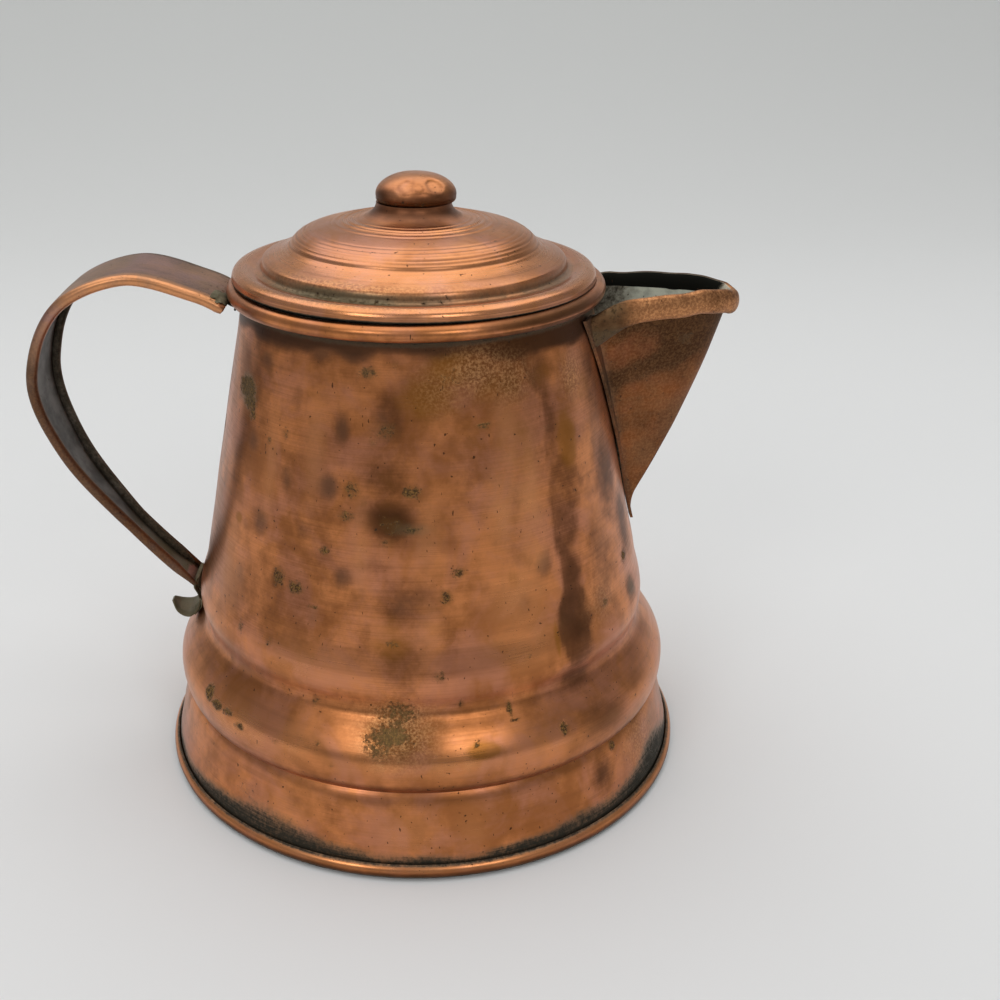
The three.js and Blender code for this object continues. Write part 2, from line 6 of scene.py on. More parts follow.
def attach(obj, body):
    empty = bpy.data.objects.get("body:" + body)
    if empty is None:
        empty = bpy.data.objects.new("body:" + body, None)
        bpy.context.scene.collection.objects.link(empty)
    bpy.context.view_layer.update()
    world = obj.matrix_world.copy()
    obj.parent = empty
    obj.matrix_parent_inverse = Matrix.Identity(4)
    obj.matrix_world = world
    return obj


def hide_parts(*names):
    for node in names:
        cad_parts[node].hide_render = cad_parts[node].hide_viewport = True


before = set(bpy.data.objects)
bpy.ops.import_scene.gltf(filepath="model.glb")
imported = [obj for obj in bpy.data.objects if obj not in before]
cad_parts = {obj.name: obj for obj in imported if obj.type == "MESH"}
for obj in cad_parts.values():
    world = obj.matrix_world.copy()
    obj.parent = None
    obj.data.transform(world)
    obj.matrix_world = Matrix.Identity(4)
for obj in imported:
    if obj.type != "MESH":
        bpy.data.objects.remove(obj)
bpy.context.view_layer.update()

# Sizes are in millimetres and angles in degrees. The origin is the middle of the bottom,
# the spout points along +X and the handle along -X.
MM = 0.001

# Pot body, measured on its outside
SHEET = 0.6
RIM_WIRE = (31.2, 89.2)
RIM_BEAD = 1.4
FOOT_RADIUS = 48.3
STRAINER_ROWS = ((80.0, 3), (75.14, 2), (70.28, 1))
STRAINER_PITCH = 5.4
STRAINER_HOLE = 1.5
TURNS = 320

# Bottom
BOTTOM_SHEET = 0.5
BOTTOM_BEAD = 1.45
BOTTOM_LAP = 0.15

# Lid, and how askew it lies
LID_SHIFT = (-0.35, 0.0, 0.18)
LID_TILT = 0.6
KNOB_SHEET = 0.6
KNOB_TOP = 107.95
KNOB_SHIFT = (0.35, 0.0, 0.0)

# Spout
SPOUT_SHEET = 0.5
SPOUT_TOP = 86.0
SPOUT_HALF_WIDTH = 10.8
FLANGE_FOOT = 44.0
FLANGE_HALF_WIDTH = 14.4
TROUGH_FOOT = 49.0
RIDGE_FOOT, RIDGE_TOP = 40.2, 54.6
SEAT_GAP = 0.3
LIP_SIZE = (1.15, 2.1)
LIP_HEIGHT = 85.4

# Handle
STRAP_SHEET = 0.5
STRAP_HALF_WIDTH = 8.7
STRAP_TAIL_HALF_WIDTH = 4.2
TAB_HALF_WIDTH = 4.6
CURL_TIP_HALF_WIDTH = 0.9
ROLL = 0.95
EDGE_WIRE = 0.42


# Numbers and curves

def span(value, low, high):
    """How far a value has gone from low to high, held between 0 and 1."""
    return np.clip((value - low) / (high - low), 0, 1)


def ease(value, low, high):
    """The share t of the way from low to high, eased at both ends: 3t^2 - 2t^3."""
    t = span(value, low, high)
    return t * t * (3 - 2 * t)


def near(value, middle, width):
    """A hump of height 1 at the middle: exp(-((value - middle) / width)^2)."""
    return np.exp(-((value - middle) / width) ** 2)


def toward(angle, middle, width):
    """The same hump on angles about the axis, measured the short way round."""
    return near((angle - middle + 180) % 360, 180, width)


def mix(a, b, share):
    """The value a share of the way from a to b: a + (b - a) share."""
    return a + (b - a) * share


def bend(start, pull, end, steps):
    """Quadratic curve (1-t)^2 start + 2t(1-t) pull + t^2 end, without its first point."""
    t = np.linspace(0, 1, steps + 1)[1:, None]
    start, pull, end = np.array(start), np.array(pull), np.array(end)
    return (1 - t) ** 2 * start + 2 * t * (1 - t) * pull + t * t * end


def straight(start, end, steps):
    """Evenly spaced points from start to end, without the first."""
    t = np.linspace(0, 1, steps + 1)[1:, None]
    return np.array(start) * (1 - t) + np.array(end) * t


def chain(start, *parts):
    """A line from its start through parts end to end. Each part is a pull, an end and a
    number of steps, and is straight if its pull is None."""
    line = [np.array([start])]
    for pull, end, steps in parts:
        here = line[-1][-1]
        line.append(straight(here, end, steps) if pull is None else bend(here, pull, end, steps))
    return np.concatenate(line)


def arc(centre, radii, from_angle, to_angle, steps):
    """Part of an ellipse: centre + (radius cos a, radius sin a)."""
    a = np.radians(np.linspace(from_angle, to_angle, steps + 1))
    return np.array(centre) + np.stack([radii[0] * np.cos(a), radii[1] * np.sin(a)], 1)


def travelled(line):
    """Distance along a line of points, up to each point."""
    return np.concatenate([[0], np.cumsum(np.linalg.norm(np.diff(line, axis=0), axis=1))])


def inset(line, distance):
    """A line moved to its left by a distance, along the normal at each point."""
    way = np.gradient(line, axis=0)
    way /= np.maximum(np.linalg.norm(way, axis=1, keepdims=True), 1e-9)
    return line + distance * np.stack([-way[:, 1], way[:, 0]], 1)


def hills(across, up, seed, wraps=0):
    """Smooth random hills between -1 and 1: a random height at each corner of a lattice of
    unit cells, eased both ways between the corners. wraps is the number of cells around."""
    rows = int(np.max(up) - np.min(up)) + 4
    columns = wraps or int(np.max(across) - np.min(across)) + 4
    table = np.random.default_rng(seed).uniform(-1, 1, (rows, columns))
    x, y = across - (0 if wraps else np.min(across)), up - np.min(up)
    i, j = np.floor(x).astype(int), np.floor(y).astype(int)
    s, t = ease(x - i, 0, 1), ease(y - j, 0, 1)
    i, k = i % columns, (i + 1) % columns
    low = mix(table[j, i], table[j, k], s)
    high = mix(table[j + 1, i], table[j + 1, k], s)
    return mix(low, high, t)


def ripples(angle, up, seed, cells):
    """Hills that close on themselves after a number of cells around the pot."""
    return hills((angle % 360) / 360 * cells, up, seed, cells)


def around(points):
    """Angle about the pot's axis in degrees, distance from the axis, and height."""
    x, y, z = points[..., 0], points[..., 1], points[..., 2]
    return np.degrees(np.arctan2(y, x)), np.hypot(x, y), z


def marks(points, places):
    """Soft oval marks on the pot: each place is an angle, a height, half a width, half a
    height and a strength, and fades as exp(-0.85 distance^2.4) measured in its half sizes."""
    angle, radius, height = around(points)
    total = np.zeros(len(points))
    for at, level, half_wide, half_high, strength in places:
        turned = np.radians((angle - at + 180) % 360 - 180) * radius
        distance = (turned / half_wide) ** 2 + ((height - level) / half_high) ** 2
        total = np.maximum(total, strength * np.exp(-0.85 * distance ** 1.2))
    return total


# Meshes

def strips(rows, columns, wrap_rows=False, wrap_columns=False):
    """Four-sided faces between neighbours in a grid of points numbered row by row."""
    i = np.arange(rows if wrap_rows else rows - 1)[:, None]
    j = np.arange(columns if wrap_columns else columns - 1)[None, :]
    k, m = (i + 1) % rows, (j + 1) % columns
    corners = [i * columns + j, i * columns + m, k * columns + m, k * columns + j]
    return np.stack(np.broadcast_arrays(*corners), -1).reshape(-1, 4)


def outward(points, faces):
    """Turns the faces round if the volume that they enclose comes out negative."""
    volume = 0.0
    for group in faces:
        first = points[group[:, 0]]
        for k in range(1, group.shape[1] - 1):
            turn = np.cross(points[group[:, k]], points[group[:, k + 1]])
            volume += np.einsum("ij,ij->", first, turn)
    return faces if volume > 0 else [group[:, ::-1] for group in faces]


def make_mesh(name, points, faces):
    """Fills a mesh from points in millimetres and arrays of faces with equal corner counts."""
    mesh = bpy.data.meshes.new(name)
    corners = np.concatenate([group.ravel() for group in faces]).astype(np.int32)
    sizes = np.concatenate([np.full(len(group), group.shape[1]) for group in faces])
    starts = np.concatenate([[0], np.cumsum(sizes)[:-1]]).astype(np.int32)
    mesh.vertices.add(len(points))
    mesh.vertices.foreach_set("co", (points * MM).astype(np.float32).ravel())
    mesh.loops.add(len(corners))
    mesh.loops.foreach_set("vertex_index", corners)
    mesh.polygons.add(len(starts))
    mesh.polygons.foreach_set("loop_start", starts)
    mesh.update(calc_edges=True)
    mesh.validate()
    return mesh


def closed_mesh(name, points, faces):
    """A mesh of a closed shell, with its faces turned outwards."""
    return make_mesh(name, points, outward(points, faces))


def join_shells(shells):
    """One list of points and one of faces from several closed shells."""
    points, faces, offset = [], [], 0
    for shell_points, shell_faces in shells:
        points.append(shell_points)
        faces += [group + offset for group in outward(shell_points, shell_faces)]
        offset += len(shell_points)
    return np.concatenate(points), faces


def revolve(profile, turns=TURNS):
    """Turns a profile of (radius, height) about the pot's axis: x = r cos a, y = r sin a.
    A profile that ends on the axis at both ends gets a pole there, any other one closes
    on itself."""
    poled = profile[0, 0] < 1e-6 and profile[-1, 0] < 1e-6
    body = profile[1:-1] if poled else profile
    a = np.linspace(0, 2 * np.pi, turns, endpoint=False)
    radius, height = body[:, :1], np.repeat(body[:, 1:], turns, 1)
    points = np.stack([radius * np.cos(a), radius * np.sin(a), height], -1).reshape(-1, 3)
    faces = [strips(len(body), turns, wrap_rows=not poled, wrap_columns=True)]
    if poled:
        count, ring = len(points), np.arange(turns)
        last = count - turns
        points = np.concatenate([points, [[0, 0, profile[0, 1]], [0, 0, profile[-1, 1]]]])
        ahead = (ring + 1) % turns
        faces.append(np.stack([ahead, ring, np.full(turns, count)], 1))
        faces.append(np.stack([last + ring, last + ahead, np.full(turns, count + 1)], 1))
    return points, faces


def loft(rings):
    """A closed shell through closed rings of points, with a flat face on each end."""
    rows, columns = rings.shape[:2]
    ring = np.arange(columns)
    ends = [ring[None, ::-1], (rows - 1) * columns + ring[None, :]]
    return rings.reshape(-1, 3), [strips(rows, columns, wrap_columns=True), *ends]


def put(name, data):
    """A new object in the scene, made of the data."""
    made = bpy.data.objects.new(name, data)
    bpy.context.scene.collection.objects.link(made)
    return made


def make_piece(name, mesh, finish, masks, body, node):
    """Makes the mesh a finished piece: its masks become point attributes, its edges are
    smooth below 38 degrees, and it stands for the node and rides on the body."""
    for mask, values in masks.items():
        layer = mesh.attributes.new(mask, "FLOAT", "POINT")
        layer.data.foreach_set("value", np.asarray(values, np.float32))
    mesh.shade_smooth()
    mesh.set_sharp_from_angle(angle=np.radians(38))
    mesh.materials.append(finish)
    piece = put(name, mesh)
    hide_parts(node)
    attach(piece, body)


def either(chosen, pairs):
    """Masks from pairs of values: the first at the chosen points, the second at the others."""
    return {name: np.where(chosen, *pair) for name, pair in pairs.items()}


def coordinates(mesh):
    """The mesh's points in millimetres."""
    flat = np.empty(len(mesh.vertices) * 3, np.float32)
    mesh.vertices.foreach_get("co", flat)
    return flat.reshape(-1, 3).astype(float) / MM


# Finishes

class Paint:
    """A material's node tree with one metal shader, and the kinds of node used for finishes."""

    def __init__(self, name):
        self.material = bpy.data.materials.new(name)
        self.material.use_nodes = True
        self.tree = self.material.node_tree
        self.shader = self.tree.nodes["Principled BSDF"]
        texture = self.node("ShaderNodeTexCoord")
        scale = self.node("ShaderNodeVectorMath", operation="SCALE")
        scale.inputs["Scale"].default_value = 1 / MM
        self.tree.links.new(texture.outputs["Object"], scale.inputs[0])
        self.place = scale.outputs["Vector"]

    def node(self, kind, **settings):
        """A new node of a kind, with its settings."""
        made = self.tree.nodes.new(kind)
        for key, value in settings.items():
            setattr(made, key, value)
        return made

    def feed(self, socket, value):
        """Links a socket to an output, or gives it a plain value."""
        if isinstance(value, bpy.types.NodeSocket):
            self.tree.links.new(value, socket)
        elif isinstance(value, tuple):
            socket.default_value = (*value, 1.0)[:4] if len(socket.default_value) == 4 else value
        else:
            socket.default_value = value

    def surface(self, name, value):
        """Feeds one of the shader's own sockets."""
        self.feed(self.shader.inputs[name], value)

    def relief(self, height):
        """Bumps as high as a number or output says, in millimetres."""
        bump = self.node("ShaderNodeBump")
        bump.inputs["Distance"].default_value = MM
        self.feed(bump.inputs["Height"], height)
        self.surface("Normal", bump.outputs[0])

    def mask(self, name):
        """A point attribute, as a number."""
        return self.node("ShaderNodeAttribute", attribute_name=name).outputs["Fac"]

    def math(self, operation, a, b, clamp=False):
        """One sum on two numbers or outputs."""
        made = self.node("ShaderNodeMath", operation=operation, use_clamp=clamp)
        self.feed(made.inputs[0], a)
        self.feed(made.inputs[1], b)
        return made.outputs[0]

    def plus(self, a, *parts):
        """The value a, plus each part times its amount."""
        for part, amount in parts:
            a = self.math("ADD", a, self.times(part, amount))
        return a

    def less(self, a, part, amount):
        """The value a, less the part times its amount."""
        return self.math("SUBTRACT", a, self.times(part, amount))

    def times(self, a, b):
        """The product of a and b."""
        return self.math("MULTIPLY", a, b)

    def most(self, a, b):
        """The larger of a and b."""
        return self.math("MAXIMUM", a, b)

    def noise(self, size, detail=2.0, rough=0.5, place=None, twist=0.0):
        """Fractal noise between 0 and 1 whose largest blobs are about size millimetres."""
        made = self.node("ShaderNodeTexNoise", noise_dimensions="3D")
        self.feed(made.inputs["Vector"], place or self.place)
        self.feed(made.inputs["Scale"], 1.0 / size)
        self.feed(made.inputs["Detail"], detail)
        self.feed(made.inputs["Roughness"], rough)
        self.feed(made.inputs["Distortion"], twist)
        return made.outputs["Fac"]

    def step(self, value, low, high):
        """0 below low, 1 above high, eased between them."""
        made = self.node("ShaderNodeMapRange", interpolation_type="SMOOTHSTEP")
        self.feed(made.inputs["Value"], value)
        self.feed(made.inputs["From Min"], low)
        self.feed(made.inputs["From Max"], high)
        return made.outputs["Result"]

    def tone(self, share, a, b):
        """Colour a where the share is 0, b where it is 1."""
        made = self.node("ShaderNodeMix", data_type="RGBA")
        self.feed(made.inputs["Factor"], share)
        self.feed(made.inputs[6], a)
        self.feed(made.inputs[7], b)
        return made.outputs[2]

    def coat(self, base, share, strength, colour):
        """A base with a coat of colour on it, as thick as the share times the strength."""
        return self.tone(self.times(share, strength), base, colour)

    def patches(self, name, grain, amount, low, high):
        """Eased from 0 to 1 as a mask plus an amount of some noise goes from low to high."""
        return self.step(self.plus(self.mask(name), (grain, amount)), low, high)

    def squeezed(self, wide, fine):
        """Places squeezed along the profile, so that noise on them makes fine lines that run
        round the pot: (x / wide, y / wide, distance along the profile / fine)."""
        split = self.node("ShaderNodeSeparateXYZ")
        self.feed(split.inputs[0], self.place)
        join = self.node("ShaderNodeCombineXYZ")
        self.feed(join.inputs[0], self.math("DIVIDE", split.outputs[0], wide))
        self.feed(join.inputs[1], self.math("DIVIDE", split.outputs[1], wide))
        self.feed(join.inputs[2], self.math("DIVIDE", self.mask("along"), fine))
        return join.outputs[0]

    def stretched(self, wide, tall):
        """Places divided by one size across and another upwards: (x / wide, y / wide,
        z / tall), so that noise on them makes short upright marks."""
        scale = self.node("ShaderNodeVectorMath", operation="MULTIPLY")
        self.feed(scale.inputs[0], self.place)
        scale.inputs[1].default_value = (1 / wide, 1 / wide, 1 / tall)
        return scale.outputs["Vector"]


def aged_copper(name, clean, brown, tarnish_and_shade, brushed=1.0, bright_coat_strength=0.5, rough=0.34,
                tin=(0.36, 0.37, 0.31), soot_and_shade=(0.028, 0.024, 0.016)):
    """Old polished copper. Clean and brown copper drift into each other in clouds; the masks
    add tarnish, crusted patina, grime, painted shade in creases, hollows and undersides,
    bright rubbed edges with painted highlights, and tinning; brush lines run round the piece
    along the profile."""
    paint = Paint(name)
    cloud = paint.noise(17, 3, 0.55, twist=0.6)
    mottle = paint.noise(4.2, 4, 0.6)
    speckle = paint.noise(0.75, 5, 0.75)
    brush = paint.noise(1.0, 2, 0.6, paint.squeezed(14, 0.22))
    streak = paint.noise(1.0, 2, 0.5, paint.squeezed(30, 1.3))
    lines = paint.math("SUBTRACT", brush, 0.5)

    # Bare metal
    uneven = paint.plus(paint.times(cloud, 0.75), (mottle, 0.55))
    colour = paint.tone(paint.step(uneven, 0.48, 0.78), clean, brown)
    pinker = paint.step(paint.noise(11, 4, 0.6, twist=0.5), 0.42, 0.66)
    pink = tuple(channel * share for channel, share in zip(clean, (0.84, 0.92, 1.60)))
    colour = paint.coat(colour, pinker, 0.6, pink)
    colour = paint.coat(colour, paint.step(brush, 0.35, 0.75), 0.17 * brushed, brown)
    colour = paint.coat(colour, paint.step(streak, 0.5, 0.8), 0.2, tarnish_and_shade)

    # Tarnish and painted shade, ragged along the brush lines, and a smoky haze over it that also
    # paints shade
    ragged = paint.times(lines, 0.30 * brushed)
    ragged = paint.plus(ragged, (paint.math("SUBTRACT", speckle, 0.5), 0.5))
    stain_and_shade = paint.plus(paint.mask("tarnish_and_shade"), (mottle, 0.5))
    stain_and_shade = paint.step(paint.math("ADD", stain_and_shade, ragged), 0.36, 1.3)
    colour = paint.coat(colour, stain_and_shade, 0.85, tarnish_and_shade)
    deep = paint.patches("tarnish_and_shade", mottle, 0.9, 1.05, 1.85)
    colour = paint.coat(colour, deep, 0.85, (0.066, 0.026, 0.010))
    haze = paint.step(paint.mask("tarnish_and_shade"), 0.8, 1.4)
    haze = paint.tone(haze, (0.25, 0.125, 0.075), (0.080, 0.045, 0.032))
    smoke_and_shade_share = paint.patches("smoke_and_shade", mottle, 0.5, 0.45, 1.35)
    colour = paint.coat(colour, smoke_and_shade_share, 0.5, haze)

    # Rubbed metal and painted highlights, brown halos of the patina, honey stains (also painted
    # golden rings round the knob's dents) and tinning
    worn_and_lit = paint.times(paint.mask("wear_and_highlight"), paint.step(mottle, 0.2, 0.6))
    colour = paint.coat(colour, worn_and_lit, bright_coat_strength, (0.82, 0.35, 0.145))
    halo = paint.patches("patina_and_shade", mottle, 0.6, 0.5, 1.25)
    colour = paint.coat(colour, halo, 0.75, (0.20, 0.095, 0.028))
    sticky = paint.patches("honey", mottle, 0.6, 0.55, 1.1)
    colour = paint.coat(colour, sticky, 0.75, (0.33, 0.125, 0.020))
    tinned = paint.mask("tin")
    dark_tin = tuple(channel * 0.5 for channel in tin)
    grey = paint.tone(paint.step(mottle, 0.35, 0.65), tin, dark_tin)
    colour = paint.tone(tinned, colour, grey)

    # Pale grains, green bloom and olive crust
    grains = paint.step(paint.noise(0.45, 3, 0.7), 0.38, 0.66)
    grains = paint.tone(grains, tarnish_and_shade, (0.68, 0.35, 0.15))
    grainy = paint.math("MULTIPLY", paint.mask("grain"), 0.7, clamp=True)
    colour = paint.tone(grainy, colour, grains)
    bloom = paint.patches("green", mottle, 0.5, 0.45, 1.2)
    colour = paint.coat(colour, bloom, 0.85, (0.150, 0.132, 0.075))
    broken = paint.plus(paint.times(speckle, 1.7), (mottle, 0.5))
    crust = paint.math("ADD", paint.times(paint.mask("patina_and_shade"), 0.8), broken)
    crust = paint.step(crust, 1.46, 1.80)
    olive = paint.step(paint.noise(0.32, 3, 0.6), 0.42, 0.68)
    olive = paint.tone(olive, (0.060, 0.029, 0.010), (0.30, 0.152, 0.040))
    olive = paint.coat(olive, paint.mask("green"), 0.7, (0.088, 0.066, 0.034))
    olive = paint.coat(olive, paint.mask("honey"), 0.5, (0.33, 0.190, 0.060))
    colour = paint.tone(crust, colour, olive)

    # Thin and caked grime and painted shade, specks and short nicks
    scum_and_shade = paint.patches("grime_and_shade", broken, 0.3, 0.55, 1.1)
    colour = paint.coat(colour, scum_and_shade, 0.8, (0.120, 0.088, 0.052))
    layered = paint.plus(broken, (lines, 0.9 * brushed))
    caked_and_shade = paint.patches("grime_and_shade", layered, 0.45, 0.98, 1.4)
    colour = paint.tone(caked_and_shade, colour, soot_and_shade)
    specks = paint.plus(paint.noise(0.75, 1, 0.5), (cloud, 0.12))
    specks = paint.step(specks, 0.805, 0.84)
    nicks = paint.step(paint.noise(1.0, 1, 0.5, paint.stretched(0.42, 1.7)), 0.755, 0.785)
    pits = paint.most(specks, nicks)
    paint.surface("Base Color", paint.coat(colour, pits, 0.8, (0.045, 0.022, 0.012)))

    # Gloss and relief
    dull = paint.most(crust, caked_and_shade)
    film = paint.most(dull, paint.times(paint.most(bloom, scum_and_shade), 0.6))
    cover = paint.most(film, paint.times(tinned, 0.6))
    paint.surface("Specular IOR Level", paint.less(0.5, film, 0.35))
    paint.surface("Metallic", paint.less(1.0, cover, 0.85))
    gloss = paint.plus(rough, (stain_and_shade, 0.12), (dull, 0.3), (lines, 0.2), (tinned, 0.12))
    paint.surface("Roughness", paint.less(gloss, worn_and_lit, 0.08))
    lift = paint.times(brush, 0.009 * brushed)
    lift = paint.plus(lift, (paint.times(crust, speckle), 0.12), (mottle, 0.02))
    paint.relief(paint.less(lift, pits, 0.03))
    return paint.material


def plain_metal(name, light, dark, rough):
    """Dull grey metal in two tones that drift into each other."""
    paint = Paint(name)
    cloud = paint.noise(3, 4, 0.6)
    paint.surface("Base Color", paint.tone(paint.step(cloud, 0.35, 0.65), light, dark))
    paint.surface("Metallic", 0.8)
    paint.surface("Roughness", paint.plus(rough, (cloud, 0.2)))
    paint.relief(paint.times(paint.noise(0.8, 2, 0.5), 0.05))
    return paint.material


POT_COPPER = aged_copper(
    "pot copper", (0.69, 0.258, 0.092), (0.38, 0.135, 0.043), (0.165, 0.060, 0.024),
    bright_coat_strength=0.62, rough=0.33)
LID_COPPER = aged_copper(
    "lid copper", (0.72, 0.31, 0.130), (0.52, 0.200, 0.078), (0.20, 0.076, 0.038),
    brushed=0.7, rough=0.32)
# The spout's caked colour is near black: it is painted shade, mostly in the far lip's hollow.
SPOUT_COPPER = aged_copper(
    "spout copper", (0.27, 0.082, 0.023), (0.130, 0.044, 0.015), (0.048, 0.026, 0.013),
    brushed=0.3, bright_coat_strength=0.8, rough=0.44, tin=(0.62, 0.64, 0.53), soot_and_shade=(0.007, 0.007, 0.005))
HANDLE_COPPER = aged_copper(
    "handle copper", (0.42, 0.222, 0.130), (0.26, 0.150, 0.096), (0.078, 0.062, 0.052),
    brushed=0.3, bright_coat_strength=0.8, rough=0.42, tin=(0.20, 0.195, 0.185))
TIN = plain_metal("old tin", (0.24, 0.25, 0.20), (0.13, 0.13, 0.11), 0.45)
VERDIGRIS = plain_metal("tarnished solder", (0.26, 0.225, 0.145), (0.12, 0.105, 0.06), 0.6)
IRON = plain_metal("iron wire", (0.10, 0.09, 0.08), (0.05, 0.04, 0.035), 0.5)


# Camera, floor and lamps

def place_camera():
    """A camera on the near side, looking slightly down on the pot. Its focal length is
    1.22349 times the width of the picture."""
    yaw, pitch, roll = np.radians((0.811, 24.829, -0.484))
    forward = Vector((np.sin(yaw) * np.cos(pitch), np.cos(yaw) * np.cos(pitch), -np.sin(pitch)))
    level = Vector((np.cos(yaw), -np.sin(yaw), 0))
    upright = level.cross(forward)
    right = level * np.cos(roll) + upright * np.sin(roll)
    up = upright * np.cos(roll) - level * np.sin(roll)
    lens = bpy.data.cameras.new("camera")
    lens.sensor_width = 36
    lens.lens = 1.22349 * lens.sensor_width
    lens.shift_x, lens.shift_y = 0.060, 0.010
    lens.clip_start, lens.clip_end = 0.01, 20
    camera = put("camera", lens)
    turn = Matrix((right, up, -forward)).transposed().to_4x4()
    camera.matrix_world = Matrix.Translation(Vector((0.79, -209.36, 142.52)) * MM) @ turn
    bpy.context.scene.camera = camera


def place_floor():
    """A pale floor that sweeps up behind the pot: flat, then a quarter of a circle, then
    upright, the same all the way across."""
    front, start, radius, top = -2500.0, 420.0, 500.0, 2200.0
    line = np.concatenate([
        chain((front, 0.0), (None, (start, 0.0), 30)),
        arc((start, radius), (radius, radius), -90, 0, 40)[1:],
        straight((start + radius, radius), (start + radius, top), 8),
    ])
    wide, deep = np.meshgrid(np.linspace(-2500.0, 2500.0, 12), line[:, 0])
    tall = np.broadcast_to(line[:, 1:], wide.shape)
    points = np.stack([wide, deep, tall], -1).reshape(-1, 3)
    mesh = make_mesh("floor", points, [strips(*wide.shape)])
    mesh.shade_smooth()
    paint = Paint("pale paper")
    split = paint.node("ShaderNodeSeparateXYZ")
    paint.feed(split.inputs[0], paint.place)
    # Painted shade: the floor turns darker grey as it sweeps up behind the pot.
    rise = paint.step(split.outputs[1], 60.0, 900.0)
    colour = paint.tone(rise, (0.80, 0.80, 0.795), (0.555, 0.56, 0.545))
    soft = paint.noise(160, 2, 0.5)
    paint.surface("Base Color", paint.coat(colour, soft, 0.06, (0.60, 0.60, 0.59)))
    paint.surface("Roughness", 0.75)
    paint.surface("Specular IOR Level", 0.2)
    mesh.materials.append(paint.material)
    put("floor", mesh)


def place_lamp(name, azimuth, elevation, distance, size, power):
    """A square soft lamp that faces the pot. Azimuth 0 is in front, 90 on the spout's side."""
    a, e = np.radians(azimuth), np.radians(elevation)
    back = Vector((np.sin(a) * np.cos(e), -np.cos(a) * np.cos(e), np.sin(e)))
    light = bpy.data.lights.new(name, "AREA")
    light.shape = "SQUARE"
    light.size = size
    light.energy = power
    lamp = put(name, light)
    lamp.location = Vector((0, 0, 0.05)) + back * distance
    lamp.rotation_euler = back.to_track_quat("Z", "Y").to_euler()


def light_scene():
    """Weak grey surroundings, a wide soft lamp overhead and two smaller ones in front."""
    world = bpy.data.worlds.new("surroundings")
    world.use_nodes = True
    background = world.node_tree.nodes["Background"]
    background.inputs["Color"].default_value = (0.80, 0.82, 0.84, 1)
    background.inputs["Strength"].default_value = 0.38
    bpy.context.scene.world = world
    place_lamp("overhead lamp", 190, 72, 1.15, 2.1, 17.5)
    place_lamp("left lamp", -32, 33, 1.1, 0.34, 1.3)
    place_lamp("right lamp", 23, 34, 1.1, 0.34, 1.3)
    bpy.context.scene.view_settings.view_transform = "Standard"


# Pot body

def wall_line():
    """Outside of the pot wall as (radius, height): a short straight foot, a flared skirt, a
    crease, a bulge, a groove, the belly and a straight cone to the neck."""
    return chain(
        (FOOT_RADIUS, 0.8), (None, (FOOT_RADIUS, 3.4), 3),
        ((47.3, 7.6), (46.25, 11.8), 10), ((45.9, 13.7), (45.0, 14.8), 6),
        ((46.4, 15.8), (46.4, 19.2), 9), ((46.4, 21.8), (44.7, 23.8), 9),
        ((43.5, 26.0), (42.1, 26.9), 7), ((40.9, 27.8), (41.2, 29.4), 8),
        ((41.5, 30.6), (41.9, 32.0), 5), ((41.9, 34.6), (40.2, 38.5), 9),
        (None, (30.2, 87.7), 72),
    )


def softened(line, width=1.3):
    """The wall with its groove softened: there the radius is the mean of the radii around
    each height, weighted by exp(-(distance / width)^2)."""
    radius, height = line.T
    away = np.linspace(-3, 3, 25)
    weight = np.exp(-(away / width) ** 2)
    smoothed = np.interp(height[:, None] + away, height, radius) @ weight / weight.sum()
    share = ease(height, 21, 24) * (1 - ease(height, 42, 46))
    return np.stack([mix(radius, smoothed, share), height], 1)


WALL = softened(wall_line())


def wall_radius(height):
    """Outside radius of the undented wall at a height, read off its profile."""
    return np.interp(height, WALL[:, 1], WALL[:, 0])


def dent(angle, height):
    """How far the hammered wall stands out from its true profile, in millimetres: broad and
    small random hills, upright flutes on the spout's side and a fuller belly there. It fades
    out at the foot, at the crease and under the rim."""
    calm = ease(height, 4, 9) * (1 - ease(height, 82, 87))
    crease = 1 - 0.7 * near(height, 14.8, 2.0)
    rough = 0.16 * ripples(angle, height / 17, 3, 14)
    rough += 0.07 * ripples(angle, height / 8, 4, 36)
    rough += 0.022 * ripples(angle, height / 3.5, 5, 80)
    wandering = angle + 2.5 * ripples(angle, height / 12, 6, 9)
    flute = near(wandering, -50.5, 4.5)
    flute -= 0.8 * near(wandering, -41, 5.0)
    flute -= 0.6 * near(wandering, -61, 6.0)
    belly = near(angle, -8, 24) * near(height, 41.5, 6.5)
    return calm * crease * (rough - 0.22 * ease(height, 33, 42) * flute) + 0.42 * belly


def body_section():
    """Closed section of the raised sheet: up the outside, round the inner side of the roll,
    back over its outer side and down the inside of the wall."""
    inner_side = arc(RIM_WIRE, (RIM_BEAD - SHEET, RIM_BEAD - SHEET), 180, -110, 22)
    outer_side = arc(RIM_WIRE, (RIM_BEAD, RIM_BEAD), -110, 180, 34)
    return np.concatenate([WALL, inner_side, outer_side, inset(WALL, SHEET)[::-2]])


def punches():
    """Rows of round punches, fewer in each lower row, that point along +X."""
    a = np.linspace(0, 2 * np.pi, 28, endpoint=False)
    shells = []
    for height, count in STRAINER_ROWS:
        for k in range(count):
            y = (k - (count - 1) / 2) * STRAINER_PITCH
            across, up = y + STRAINER_HOLE * np.cos(a), height + STRAINER_HOLE * np.sin(a)
            ring = np.stack([0 * a, across, up], 1)
            shells.append(loft(np.stack([ring + (22, 0, 0), ring + (44, 0, 0)])))
    return join_shells(shells)


def pierced(mesh, tool_mesh):
    """The mesh with the tool's solids cut out of it."""
    body, tool = put("blank", mesh), put("punch", tool_mesh)
    cut = body.modifiers.new("cut", "BOOLEAN")
    cut.operation, cut.solver, cut.object = "DIFFERENCE", "EXACT", tool
    shaped = body.evaluated_get(bpy.context.evaluated_depsgraph_get())
    made = bpy.data.meshes.new_from_object(shaped)
    made.materials.clear()
    for item in (body, tool):
        bpy.data.objects.remove(item)
    return made


